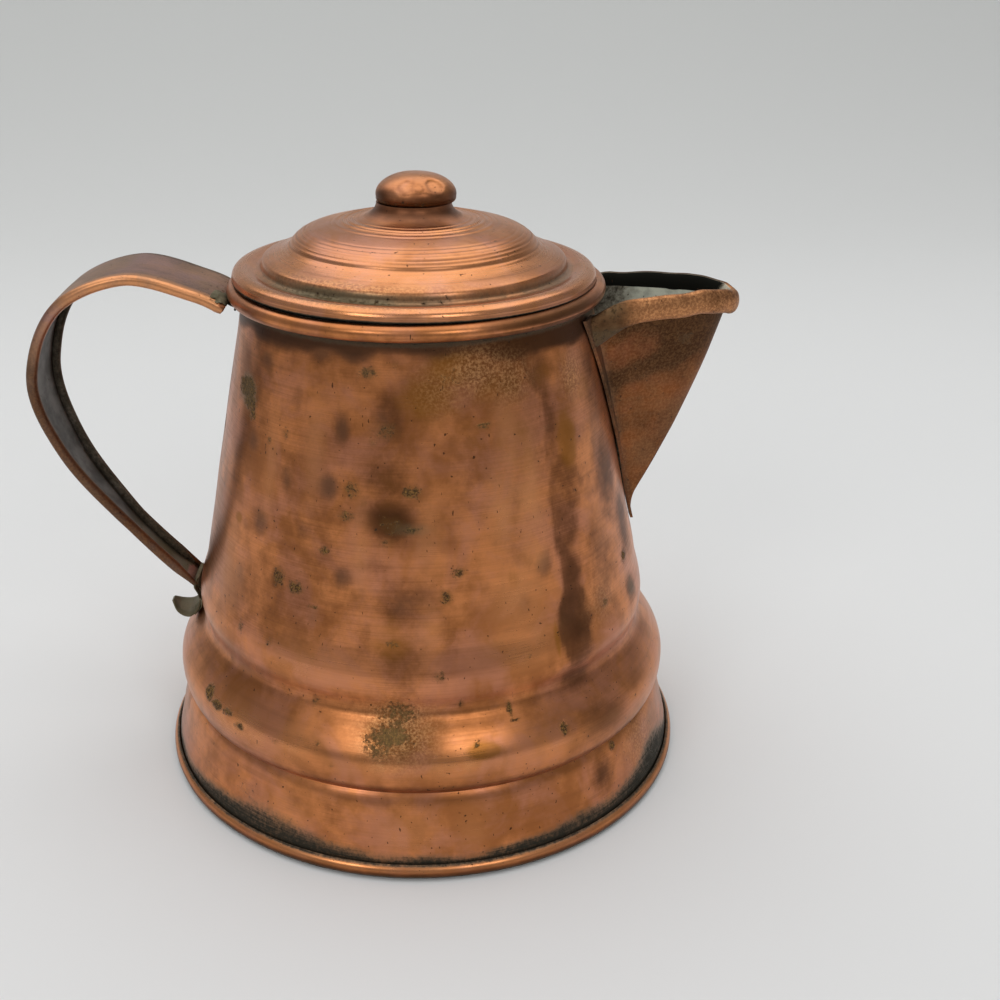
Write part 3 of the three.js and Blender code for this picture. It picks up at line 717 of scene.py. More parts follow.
# Marks on the wall: angle, height, half a width, half a height and strength
TARNISH = (
    (-125.8, 77.4, 1.4, 3.1, 0.6), (-111.3, 74.2, 1.9, 3.4, 0.95), (-142.7, 68.3, 2.2, 1.9, 0.65),
    (-127.8, 64.5, 1.9, 3.2, 0.75), (-114.3, 64.7, 2.1, 2.4, 1), (-136.2, 55.9, 2.4, 2.8, 0.8),
    (-120.3, 56.9, 2.3, 2.6, 0.6), (-97, 59.7, 3.2, 2.5, 1.35), (-103.9, 83, 1.9, 1.4, 0.7),
    (-140.5, 82.1, 2.3, 1.9, 0.55), (-118.5, 85.1, 2.9, 2.1, 0.85), (-94.2, 72.3, 3.1, 4.6, 0.4),
    (-142.3, 45.3, 1.9, 2.7, 0.65), (-149.6, 38.2, 1.8, 3.1, 0.5), (-128.4, 47.6, 2, 2.7, 0.85),
    (-109.5, 50.4, 2.1, 2.3, 0.85), (-129, 37, 1.5, 2.2, 0.5), (-103.2, 40, 2, 4.2, 0.6),
    (-93.8, 38.9, 4.5, 3.5, 0.6), (-91.3, 35.4, 5.5, 1.4, 0.55), (-107.4, 30.3, 6.4, 1.6, 0.3),
    (-133.3, 30.4, 7.7, 2.5, 0.4), (-100.2, 53.2, 2.3, 1.9, 0.55), (-65.7, 82.9, 6.3, 2.1, 0.35),
    (-63.2, 65.5, 1.3, 2.4, 0.55), (-73.6, 60.1, 1.8, 2.2, 0.45), (-31.6, 65.9, 1.8, 3.9, 0.5),
    (-22.7, 43.8, 2.3, 1.4, 0.9), (-39.1, 51.8, 1.5, 1.1, 0.5), (-57.6, 50.2, 2, 2.6, 0.85),
    (-64.3, 44.7, 1.7, 2.5, 0.55), (-23.1, 37.4, 2.8, 2.9, 0.9), (-40.6, 40.8, 2.3, 3.2, 0.5),
    (-51.5, 29.0, 5.2, 2.6, 1.05), (-48, 21.9, 4.2, 2.8, 0.85), (-47.2, 9.7, 3.2, 3.8, 0.9),
    (-83.8, 40.9, 2.3, 4.2, 0.5), (-118.3, 9.9, 2, 2.1, 0.5), (-109.6, 10.2, 2, 2.8, 0.55),
    (-141.6, 7.7, 1.6, 1.7, 0.5), (-94.7, 12.9, 4.3, 1.3, 0.35), (-81.5, 49.1, 3.6, 4.9, 0.3),
    (-87.3, 57.3, 2.5, 4.8, 0.4), (-26.2, 60.1, 4.5, 7.5, 0.95), (-18.8, 48.9, 4.2, 7.0, 1.0),
    (-29.0, 76.0, 3.5, 7.0, 0.8), (-99.2, 67.7, 4.9, 5.6, 0.85), (-97.8, 76.1, 3.1, 5.2, 0.95),
    (-97, 60.2, 5.2, 3.6, 1.3), (-93.6, 46.7, 5.5, 4.6, 0.85), (-95.4, 36.6, 4.9, 5, 0.7),
    (-46.5, 20.9, 6.8, 2.9, 1.05), (-86.5, 79.1, 5.2, 3.9, 0.55), (-44.5, 70.6, 2, 5.3, 0.7),
    (-37.1, 46.7, 6.6, 6.5, 0.5), (-106.2, 81.9, 4.2, 3, 0.6), (-76.3, 67.9, 4.2, 6.2, 0.45),
    (-26.6, 54.8, 5, 6.2, 0.5), (-105.7, 47.1, 3.4, 2.6, 0.5),
)
PATINA = (
    (-149.7, 76.1, 3.2, 2, 1.25), (-147.4, 74.2, 2.5, 1.3, 1.1), (-144.8, 72.5, 1.3, 1.3, 1),
    (-129.2, 71.5, 1.3, 1.3, 0.62), (-135.8, 69.6, 0.8, 0.8, 0.75), (-107.7, 64.6, 1.7, 1.6, 0.72),
    (-109.1, 60.5, 1.7, 1, 0.78), (-91.7, 64.8, 1.7, 1.3, 0.78), (-97, 59.4, 3.2, 1.9, 0.5),
    (-91.7, 58.8, 1.6, 0.6, 0.95), (-104.1, 62.8, 0.5, 0.5, 0.85), (-98.8, 74.3, 2.2, 1.8, 0.62),
    (-102.3, 72.4, 1, 1.2, 0.6), (-103.9, 82.9, 2.2, 1.1, 0.8), (-96.2, 84.2, 1.2, 1.2, 0.5),
    (-114.5, 54.3, 1.1, 0.8, 0.85), (-127.8, 48, 1.8, 2, 0.75), (-122.2, 47, 1.8, 1.3, 0.9),
    (-116.7, 44.7, 1.3, 0.5, 0.75), (-128.5, 36.5, 0.9, 1.2, 0.65), (-139.3, 36.5, 0.8, 1.2, 0.65),
    (-98.5, 56.8, 1.6, 1, 0.62), (-96.6, 40.3, 1.5, 1, 0.62), (-146.1, 22.5, 1.5, 1.5, 1.2),
    (-141.7, 21.8, 1.7, 0.9, 1.15), (-137.4, 22, 1.8, 0.7, 1.05), (-133, 20.9, 1.3, 0.8, 0.95),
    (-115.4, 28.2, 1, 1.5, 0.62), (-107.4, 30.3, 4.3, 1.6, 0.25), (-122.5, 21.2, 1.2, 0.5, 0.6),
    (-112.5, 22.9, 0.5, 0.5, 0.7), (-95.4, 28.2, 4, 2.3, 0.75), (-96.8, 25.1, 3.9, 1.8, 0.95),
    (-99.5, 23, 2.6, 1.2, 0.75), (-81.2, 29.6, 1, 1.1, 0.62), (-86.2, 35, 1.3, 1.3, 0.66),
    (-70, 27.5, 0.6, 1.4, 1.1), (-69.1, 25.8, 1.2, 0.3, 0.85), (-58.4, 22.8, 0.9, 1.1, 1.2),
    (-78.6, 23.6, 0.8, 0.4, 0.85), (-43.2, 13.8, 0.8, 0.8, 1.1), (-83.8, 47.9, 1.3, 1.5, 0.8),
    (-80.4, 51.6, 1.5, 1.1, 0.74), (-37.9, 39.1, 1.5, 1.1, 0.75), (-64.6, 36.3, 0.5, 0.4, 1.1),
    (-27.7, 4, 3.7, 3.7, 0.9), (-37.7, 3.1, 3.7, 2.1, 0.8), (-23.9, 43.6, 1.6, 1.2, 0.8),
    (-71.7, 74.4, 1.8, 0.5, 0.85), (-52.6, 72.1, 1.3, 0.8, 0.55), (-79.3, 82.2, 3.4, 2.1, 0.42),
    (-131.2, 8.6, 3.2, 1.8, 0.5), (-108.9, 19.8, 0.7, 0.8, 0.6),
)
SMOKE = (
    (-111.3, 74.2, 1.7, 3.1, 0.7), (-142.7, 68.3, 2.2, 1.9, 0.8), (-127.8, 64.5, 1.7, 2.9, 0.7),
    (-114.3, 64.7, 2.1, 2.4, 1), (-136.2, 55.9, 2.1, 2.6, 0.8), (-121, 56.8, 2, 2.3, 0.5),
    (-142.5, 45.2, 1.9, 2.7, 0.8), (-109.5, 50.4, 1.9, 2.1, 0.8), (-93.8, 46.7, 2.9, 2.6, 0.6),
    (-116.5, 43, 1.3, 2.2, 0.7), (-57.5, 50.5, 1.8, 2.5, 0.9), (-26.2, 60.1, 4.5, 6.9, 0.45),
    (-18.8, 48.9, 4.2, 5.9, 0.35), (-22.6, 37.1, 3.4, 3.3, 0.4), (-141.8, 30.1, 9.4, 3, 0.7),
    (-152.9, 31.3, 6.2, 4, 0.6), (-156.7, 25.6, 2.8, 1, 0.6), (-107.4, 30.3, 7.3, 1.6, 0.35),
    (-146.8, 6.2, 3.4, 4.7, 0.5), (-22.2, 10.9, 4.2, 4.9, 0.5), (-31.6, 65.9, 1.8, 4.4, 0.7),
    (-140.5, 82.1, 2.3, 2.2, 0.8), (-118.6, 85.4, 2.9, 1.8, 0.7), (-125.8, 77.4, 1.2, 2.8, 0.5),
    (-64.3, 44.7, 1.5, 2.3, 0.6),
)
GREEN = (
    (-27.9, 3.7, 4.8, 4, 0.9), (-36.8, 2.6, 4.5, 2.3, 0.8), (-22.6, 37.1, 2.9, 2.5, 0.5),
    (-103.9, 83, 1.9, 1.2, 0.5), (-133.8, 3.1, 6.4, 1.9, 0.5), (60, 8, 9.0, 5.0, 0.8),
    (130, 78, 6.0, 4.0, 0.5), (-149.4, 75.5, 3.5, 3.4, 0.7), (-133.9, 2.4, 9.6, 4.2, 0.5),
    (-29, 4, 3.6, 3.8, 0.9), (-95.9, 26.5, 5.6, 4.3, 0.3), (-91.7, 58.8, 3.8, 1.6, 0.5),
    (-100.2, 75.2, 3.2, 3.7, 0.35),
)
GRAINY = (
    (-72.5, 82.7, 4.6, 3.3, 1), (-62.8, 81.1, 3.6, 3.3, 0.9), (-83.7, 80.5, 4, 3.6, 0.5),
    (-95.5, 25.6, 5.6, 4.3, 1), (-39, 78.8, 2.8, 3.1, 0.9), (-39.4, 40.1, 4.1, 3.8, 0.4),
    (-31.6, 10.4, 5.5, 5.6, 0.5),
)
HONEY = (
    (-79.2, 83.1, 6, 3, 0.8), (-66.1, 80.3, 5.2, 3, 0.55), (-33.2, 76.2, 3.1, 3.1, 0.6),
    (-56.2, 37.3, 0.8, 3.5, 0.9), (-77.1, 22.6, 3.3, 1.4, 1), (-146.2, 54.4, 1.1, 1, 1.1),
    (-95.5, 25.4, 5.9, 3.9, 0.75), (-42.8, 24.5, 3.1, 1.3, 0.45), (-66.9, 49.5, 1.8, 2.6, 0.5),
    (-50.4, 80.3, 3, 3.7, 0.5), (-86.5, 79.1, 5.6, 4.5, 0.75), (-99.2, 67.7, 3.8, 4.7, 0.35),
    (-97, 62.4, 4.1, 2.0, 0.3), (-44.9, 69.4, 2.5, 5.6, 0.9), (-97.3, 41, 4.9, 4.2, 0.6),
    (-61.6, 69.7, 2.6, 7.8, 0.5), (-75.9, 72.5, 4.8, 4.6, 0.45),
)
# Bright marks: rubbed metal, and painted highlights along the flutes beside the spout and on the
# bulge.
WORN_AND_LIT = (
    (-65, 70, 2.2, 8.0, 0.9), (-68.5, 61, 2.2, 6.0, 0.8), (-60.5, 62, 2.4, 12.0, 0.9),
    (-65, 46, 5.0, 6.0, 0.7), (-66, 38, 6.0, 3.5, 0.7), (-59, 55, 1.8, 6.0, 0.8),
    (-88, 57, 2.0, 6.0, 0.5), (-105, 56, 1.4, 7.0, 0.5), (-119, 70, 1.8, 7.0, 0.55),
    (-134, 66, 1.6, 8.0, 0.5), (-118, 35, 9.0, 3.5, 0.45), (-88, 43, 2.0, 5.0, 0.4),
    (-150, 45, 5.0, 9.0, 0.5), (-99, 22, 5.0, 2.5, 0.9), (-83, 21, 5.0, 2.6, 0.9),
    (-121, 20, 6.0, 3.0, 0.5), (-60, 21, 5.0, 3.0, 0.4), (-120, 8, 5.0, 4.0, 0.35),
    (-93, 8, 5.0, 4.0, 0.4), (-80, 8, 3.0, 4.0, 0.35), (-134, 21, 8.0, 3.5, 1.0),
    (-118, 22, 5.0, 2.5, 0.8),
)
# The streak beside the spout, partly tarnish and partly a painted dark reflection along the flutes:
# height, left and right edge as angles, strength
STREAK = np.array((
    (22, -52, -50, 0.2), (27, -52, -49, 0.5), (31, -53.6, -47.9, 0.85), (34, -55.2, -45.7, 1.05),
    (38, -55.8, -44.0, 1.2), (42, -54.8, -44.8, 1.2), (45, -52.4, -46.0, 1.15),
    (50, -52.7, -46.9, 1.05), (55.5, -54.6, -44.7, 0.85), (61.5, -54.7, -42.4, 0.85),
    (68, -53.8, -46.8, 0.8), (72, -54.3, -48.0, 0.85), (76.5, -54.4, -49.0, 0.9),
    (82, -57.8, -46.8, 0.85), (87, -62, -45.0, 0.8),
))


def streak(points):
    """The long dark streak beside the spout, partly tarnish and partly a painted dark reflection
    along the flutes: between a left and a right edge, given as angles for some heights, with a
    crisp wavy left edge and a soft right one."""
    angle, radius, height = around(points)
    level, left, right, strength = STREAK.T
    wander = 0.7 * hills(height / 4, height * 0, 61)
    from_left = np.radians(angle - np.interp(height, level, left)) * radius + wander
    from_right = np.radians(angle - np.interp(height, level, right)) * radius + wander
    frayed = 1.1 * hills(height / 2.1, angle / 3, 64)
    within = ease(from_left, -0.7, 0.9) * (1 - ease(from_right + frayed, -1.7, 2.6))
    fade = ease(height, 21, 27) * (1 - ease(height, 87.0, 88.0))
    return within * np.interp(height, level, strength) * fade


def scattered(seed, count, largest):
    """Marks strewn over the far side of the pot. Each number of a mark is drawn evenly
    between two limits, its half sizes as shares of the largest."""
    dice = np.random.default_rng(seed)
    return tuple(zip(
        dice.uniform(-5, 200, count), dice.uniform(9, 84, count),
        dice.uniform(0.3, 1, count) * largest, dice.uniform(0.4, 1.3, count) * largest,
        dice.uniform(0.4, 0.95, count),
    ))


def body_masks(points):
    """Where the wall is tarnished, crusted, grimy, rubbed bright or tinned, and where shade and
    highlights are painted on it: at each point the strongest of the placed marks, the scattered
    ones and the bands at foot, crease, groove and rim."""
    angle, radius, height = around(points)
    inside = (radius < wall_radius(height) + dent(angle, height) - 0.3) & (height < 88)
    uneven = ripples(angle, height / 2.5, 62, 40)
    right_front = near(angle, -47, 26)
    # Darker band under the rim bead: painted shade of the bead and the lid's brim, strongest on the
    # right front, together with tarnish.
    under_rim = ease(height + uneven + 0.8 * right_front, 83.6, 86.2) * (height < 88.2)
    under_bead = ease(radius, 31.0, 31.6) * (height < 89.0) * (height > 86)
    veil = (0.32 + 0.26 * ripples(angle, height / 14, 63, 12)) * ease(height, 32, 40)
    tarnish_and_shade = np.maximum.reduce([
        # The streak is partly tarnish and partly a painted dark reflection along the flutes.
        marks(points, TARNISH + scattered(11, 46, 5.0)), veil, 0.9 * streak(points),
        # Painted shade: the bands under the rim and bead, along the crease at 16.1 and the groove
        # at 28.6, and on the rim top at the right front under the brim.
        under_rim * (1.3 + 0.5 * right_front), under_bead * (0.5 + 0.6 * right_front),
        0.62 * near(height, 16.1, 1.0), 0.40 * near(height, 28.6, 2.2),
        1.5 * ease(height, 88.6, 89.6) * right_front,
    ])
    smoke_and_shade = np.maximum.reduce([
        # Painted shade: the smoky band under the rim and the line along the crease.
        marks(points, SMOKE + scattered(14, 26, 5.0)), 0.8 * under_rim * (1 - right_front),
        0.55 * near(height, 15.2, 0.9),
    ])
    reach = 6.0 + 4.2 * near(angle, -130, 18) + 7.0 * near(angle, -28, 13)
    reach = reach + 1.3 * uneven + 2.5 * near(angle, -60, 12)
    grime_and_shade = np.maximum.reduce([
        # The foot band is grime; the thin line in the crease and the band under the rim bead are
        # painted shade.
        0.86 * (1 - ease(height, 0.4 * reach, reach)), 0.35 * near(height, 14.95, 0.28),
        0.7 * ease(height, 86.0, 87.6) * (height < 88.2),
    ])
    # Painted highlights with some rubbed metal: the top of the rim bead, the bright marks and the
    # crest of the bulge.
    wear_and_highlight = np.maximum.reduce([
        0.25 * ease(height, 88.6, 90.3) * (radius > 30), marks(points, WORN_AND_LIT),
        0.3 * near(height, 20.5, 3.0) * (height < 60),
    ])
    return {"along": height, "tin": inside, **either(inside, {
        "tarnish_and_shade": (0.3, tarnish_and_shade),
        "patina_and_shade": (0.1, marks(points, PATINA + scattered(12, 34, 3.0))),
        "smoke_and_shade": (0, smoke_and_shade),
        "honey": (0, marks(points, HONEY + scattered(13, 7, 5.0))),
        "grime_and_shade": (0.2, grime_and_shade),
        "green": (0, marks(points, GREEN)),
        "grain": (0, marks(points, GRAINY)),
        "wear_and_highlight": (0, wear_and_highlight),
    })}


def make_body():
    """The raised body: its section turned about the axis, each point moved outwards by the
    dents, and the strainer holes punched through it."""
    points, faces = revolve(body_section())
    angle, radius, height = around(points)
    points[:, :2] *= (1 + dent(angle, height) / radius)[:, None]
    mesh = pierced(closed_mesh("pot body", points, faces), make_mesh("punches", *punches()))
    masks = body_masks(coordinates(mesh))
    make_piece("pot_body", mesh, POT_COPPER, masks, "pot", "body_shell")


def make_bottom():
    """The bottom disc: flat, then turned up and folded back over the foot in a round bead."""
    centre = (FOOT_RADIUS - BOTTOM_LAP, BOTTOM_BEAD)
    fold = arc(centre, (BOTTOM_BEAD, BOTTOM_BEAD), -90, 70, 26)
    back = arc(centre, (BOTTOM_BEAD - BOTTOM_SHEET, BOTTOM_BEAD - BOTTOM_SHEET), 70, -90, 14)
    points, faces = revolve(np.concatenate([
        chain((0, 0), (None, fold[0], 24)), fold[1:], back,
        straight(back[-1], (0, BOTTOM_SHEET), 12),
    ]))
    angle, radius, height = around(points)
    wobble = 0.05 * ripples(angle, height * 0, 21, 30) * (radius > 46)
    points[:, :2] *= (1 + wobble / np.maximum(radius, 1))[:, None]
    # Painted shade darkens the underside of the bead, and a painted highlight lightens its top.
    under = 1 - ease(height, 0.9, 2.3)
    masks = {
        "along": radius,
        "tarnish_and_shade": 0.45 + 0.7 * under,
        "patina_and_shade": 0.35 * under,
        "grime_and_shade": np.maximum(0.75 * ease(height, 2.3, 2.75), 0.85 * (1 - ease(height, 0.4, 1.4))),
        "wear_and_highlight": ease(height, 1.4, 2.4) * (radius > 48.2),
        "tin": (radius < 48.0) * (height > 0.3),
    }
    mesh = closed_mesh("pot bottom", points, faces)
    make_piece("pot_bottom", mesh, POT_COPPER, masks, "pot", "bottom_disc")


# Lid

# Fine rings left by spinning: radius and depth
SPUN_RINGS = (
    (9.9, 0.05), (10.7, 0.08), (11.5, 0.05), (12.4, 0.07), (17.6, 0.05), (18.6, 0.08), (19.3, 0.07),
    (20.0, 0.12), (20.6, 0.09), (21.2, 0.12), (21.9, 0.05), (23.6, 0.03),
)
# Dents in the knob: middle, depth and reach
KNOB_DENTS = (
    ((-1.6, -5.3, 106.2), 0.40, 1.35), ((3.0, -4.7, 106.3), 0.50, 1.45),
    ((0.5, -5.7, 106.0), 0.20, 0.8), ((0.6, 0.6, 108.2), 0.10, 2.4),
)


def askew(points):
    """Points of the lid, which lies a little off the middle and lower on the spout's side:
    turned about Y through the rim's middle by the tilt, then shifted."""
    a = np.radians(LID_TILT)
    x, y, z = points.T
    z = z - RIM_WIRE[1]
    tilted_x, tilted_z = x * np.cos(a) + z * np.sin(a), z * np.cos(a) - x * np.sin(a)
    return np.stack([tilted_x, y, tilted_z + RIM_WIRE[1]], 1) + LID_SHIFT


def crown_line():
    """Top of the lid as (radius, height): neck flange, neck, cove, dome, step, channel and a
    rounded brim that turns down; fine rings are cut into it where it was spun."""
    line = chain(
        (4.6, 103.0), (None, (6.4, 103.0), 2),
        ((6.5, 101.1), (9.4, 100.4), 20), ((13.6, 99.9), (17.1, 98.95), 70),
        ((20.0, 98.15), (21.1, 96.5), 40), ((21.7, 95.65), (23.2, 95.1), 26),
        ((24.8, 94.6), (25.6, 94.2), 12), ((26.15, 93.9), (26.25, 92.8), 9),
        ((26.6, 92.2), (27.5, 92.3), 6), ((28.4, 92.75), (29.4, 92.75), 9),
        ((31.25, 92.65), (31.3, 90.75), 26),
    )
    radius = line[:, 0]
    for at, depth in SPUN_RINGS:
        line[:, 1] -= depth * near(radius, at, 0.2)
    bands = ease(radius, 9.3, 10.2) * (1 - ease(radius, 13.2, 14.6))
    line[:, 1] += 0.075 * bands * np.cos(2 * np.pi * radius / 1.35)
    line[:, 0] -= 0.05 * near(line[:, 1], 91.25, 0.12) * (radius > 30.5)
    return line


def make_crown():
    """The spun crown: the top line and the same line a sheet lower, turned about the axis,
    with shallow waves pressed up and down in it."""
    top = crown_line()
    under = inset(top, -SHEET)[::-4]
    under = under[np.r_[True, np.diff(under[:, 0]) < 0.2]]
    points, faces = revolve(np.concatenate([top, under]), 256)
    angle, radius, height = around(points)
    wave = 0.05 * ripples(angle, radius / 7, 31, 12) + 0.02 * ripples(angle, radius / 3, 32, 30)
    points[:, 2] += wave * ease(radius, 8, 12)
    upper = (height > np.interp(radius, *top.T) - 0.3) | (radius > 30.9)
    channel = near(radius, 26.8, 0.9)
    left, right = toward(angle, -118, 34), toward(angle, -30, 30)
    grooves = sum(9 * depth * near(radius, at, 0.22) for at, depth in SPUN_RINGS)
    grooves = grooves * (0.45 + 0.55 * ripples(angle, radius / 4, 33, 9))
    brim = ease(radius, 27.8, 29.5) * (1 - ease(radius, 31, 31.3))
    hem = (1 - ease(height, 90.8, 91.1)) * (radius > 30)
    neck = (radius < 6.6) * ease(height, 102.3, 102.9)
    # Painted shade darkens the neck under the knob; painted highlights lighten the brim and the
    # bands near radii 22 and 11.5.
    masks = {"along": np.interp(radius, top[:, 0], travelled(top)), "tin": ~upper, **either(upper, {
        "tarnish_and_shade": (grooves + (0.4 + 0.4 * left) * channel + 0.2 * ease(radius, 29.5, 31)
                    + 0.95 * near(radius, 6.8, 1.5), 0.2),
        "smoke_and_shade": (0.7 * near(radius, 7.4, 1.2)
                  + 0.5 * ease(radius, 27, 30) * toward(angle, 180, 40), 0),
        "patina_and_shade": (channel * (0.15 + 0.45 * left + 0.25 * right), 0),
        "green": (ease(channel, 0.1, 0.8) * (0.35 + 0.65 * left + 0.3 * right), 0),
        "grain": (0.6 * ease(radius, 24, 25) * (1 - ease(radius, 30, 31)) * (0.3 + left), 0),
        "honey": (0.35 * near(radius, 23, 3), 0),
        "grime_and_shade": (0.5 * near(radius, 26.3, 0.3) + 0.95 * hem + 0.3 * neck, 0.35),
        "wear_and_highlight": (brim + 0.8 * near(radius, 22, 2.5) + 0.6 * near(radius, 11.5, 1.6), 0),
    })}
    mesh = closed_mesh("lid crown", askew(points), faces)
    make_piece("lid_dome", mesh, LID_COPPER, masks, "lid", "lid_crown")


def make_knob():
    """The pressed knob: a hollow round button with dents in it. A dent moves a point toward
    the knob's middle by depth exp(-(distance / reach)^4)."""
    face = np.concatenate([
        chain((6.35, 103.15), ((6.7, 103.2), (6.8, 103.7), 8)),
        arc((0, 104.3), (6.83, 3.65), -9, 90, 40),
    ])
    face[-1] = (0, KNOB_TOP)
    back = inset(face[:-1], KNOB_SHEET)[::-3]
    profile = [[[0, KNOB_TOP - KNOB_SHEET]], back[back[:, 0] > 0.8], [[5.9, 103.15]], face]
    points, faces = revolve(np.concatenate(profile), 128)
    painted_dent_rims = np.zeros(len(points))
    for centre, depth, reach in KNOB_DENTS:
        away = points - (0, 0, 105.0)
        away /= np.linalg.norm(away, axis=1, keepdims=True)
        reached = np.linalg.norm(points - centre, axis=1) / reach
        points -= away * (depth * np.exp(-reached ** 4))[:, None]
        painted_dent_rims = np.maximum(painted_dent_rims, near(reached, 0.95, 0.32) * (depth > 0.15))
    angle, height = around(points)[0], points[:, 2]
    uneven = ripples(angle, height / 1.5, 34, 12)
    painted_dent_rims = painted_dent_rims * (0.55 + 0.45 * ripples(angle, height / 0.8, 35, 36))
    # Painted shade darkens the knob's lower part and its crease, the dents' rims get darker and
    # golden rings as painted shading, and a painted highlight lightens the top.
    low = 1 - ease(height, 103.6, 106.4)
    masks = {
        "along": height,
        "tarnish_and_shade": 0.75 * low + 0.38 + 0.45 * painted_dent_rims + 0.25 * uneven,
        "patina_and_shade": 0.45 * (1 - ease(height, 103.4, 105.0)) + 0.2 * painted_dent_rims,
        "grime_and_shade": 0.25 * (1 - ease(height, 103.2, 103.7)),
        "honey": 0.5 * painted_dent_rims,
        "wear_and_highlight": 0.3 * ease(height, 105.5, 107.0),
    }
    mesh = closed_mesh("lid knob", askew(points + KNOB_SHIFT), faces)
    make_piece("lid_button", mesh, LID_COPPER, masks, "lid", "lid_knob")


def make_collar():
    """The collar: a plain ring of sheet below the lid that drops into the mouth."""
    mesh = closed_mesh("lid collar", *revolve(np.concatenate([
        straight((29.0, 84.5), (29.0, 91.5), 6), straight((28.4, 91.5), (28.4, 84.3), 6),
        [[28.7, 84.2]],
    ]), 192))
    make_piece("lid_sleeve", mesh, TIN, {}, "lid", "lid_collar")


# Spout

def trough(height, share, inside):
    """Plan of the spout at a height: share runs from -1 at one flange to 1 at the other. The
    ridge stands out in front and the sides run back to the wall as |share|^power. The ridge
    leans out in a line with a bow of 4.8 t (1 - t)."""
    seat = wall_radius(height) + SEAT_GAP
    half = SPOUT_HALF_WIDTH * np.maximum(span(height, TROUGH_FOOT - 1.5, SPOUT_TOP), 0.04)
    t = span(height, TROUGH_FOOT, SPOUT_TOP)
    ridge = mix(RIDGE_FOOT, RIDGE_TOP, t) + 4.8 * t * (1 - t)
    ridge = mix(seat + SPOUT_SHEET, ridge, span(height, FLANGE_FOOT + 1.5, TROUGH_FOOT))
    depth = np.abs(share) ** mix(1.3, 2.0, t)
    if not inside:
        root = np.sqrt((seat + SPOUT_SHEET) ** 2 - half ** 2)
        return mix(ridge, root, depth), half * share
    half_in = np.maximum(half - SPOUT_SHEET, 0.4 * half)
    y = share * half_in
    root = np.sqrt(seat ** 2 - half_in ** 2)
    x = mix(ridge - 1.3 * SPOUT_SHEET, root, depth)
    return mix(np.sqrt(seat ** 2 - y ** 2), x, span(height, 50, 54)), y


def spout_rings():
    """Closed outlines of the folded sheet, one for each height: a flange lying on the wall,
    the outside of the trough, the other flange, and back along the inside. On the wall
    x = sqrt(radius^2 - y^2)."""
    height = np.concatenate([np.linspace(FLANGE_FOOT, 54, 26), np.linspace(54, SPOUT_TOP, 66)[1:]])
    height = height[:, None]
    even = np.linspace(-1, 1, 61)[None, :]
    share = even * mix(0.6, 1.0, np.abs(even))
    seat = wall_radius(height) + SEAT_GAP
    on_top = seat + SPOUT_SHEET
    flange = np.maximum(FLANGE_HALF_WIDTH * span(height, FLANGE_FOOT, SPOUT_TOP), 1.0)
    out_x, out_y = trough(height, share, False)
    in_x, in_y = trough(height, share, True)
    wide = np.linspace(0, 1, 10)[None, :]
    left = mix(-flange, out_y[:, :1], wide)[:, :-1]
    right = mix(out_y[:, -1:], flange, wide)[:, 1:]
    low_right = mix(flange, in_y[:, -1:], wide)[:, :-1]
    low_left = mix(in_y[:, :1], -flange, wide)[:, 1:]
    x = np.concatenate([
        np.sqrt(on_top ** 2 - left ** 2), out_x, np.sqrt(on_top ** 2 - right ** 2),
        np.sqrt(seat ** 2 - low_right ** 2), in_x[:, ::-1], np.sqrt(seat ** 2 - low_left ** 2),
    ], 1)
    y = np.concatenate([left, out_y, right, low_right, in_y[:, ::-1], low_left], 1)
    return np.stack([x, y, np.broadcast_to(height, x.shape)], -1)


def lip_rings():
    """The spout's edge, rolled outwards: a tall oval C carried along the top of the trough,
    lowest at the tip and drawn down where it meets the pot."""
    count = 121
    share = np.linspace(-1.06, 1.06, count)
    x, y = trough(np.full(count, SPOUT_TOP), share, False)
    ahead = np.gradient(np.stack([x, y], 1), axis=0)
    ahead /= np.linalg.norm(ahead, axis=1, keepdims=True)
    across = np.stack([ahead[:, 1], -ahead[:, 0]], 1)
    reached = np.minimum(np.abs(share), 1)
    rise = LIP_HEIGHT + 1.3 * np.minimum(2 * reached, 1) - 2.0 * reached ** 8
    rise = rise - 30 * np.maximum(np.abs(share) - 0.88, 0) ** 1.4
    rise = rise + 0.16 * hills(np.linspace(0, 19, count), np.zeros(count), 42)
    taller = 1 + 0.4 * ease(np.abs(share), 0.8, 1.02)
    hollow = (LIP_SIZE[0] - SPOUT_SHEET, LIP_SIZE[1] - SPOUT_SHEET)
    section = np.concatenate([
        arc((0, 0), LIP_SIZE, 205, -110, 34), arc((0, 0), hollow, -110, 205, 24)])
    reach = hollow[0] + 0.10 * hills(np.linspace(0, 22, count), np.zeros(count), 41)
    centre = np.stack([x, y], 1) + across * reach[:, None]
    plan = centre[:, None, :] + across[:, None, :] * section[None, :, :1]
    tall = rise[:, None] + taller[:, None] * section[None, :, 1]
    return np.concatenate([plan, tall[..., None]], -1)


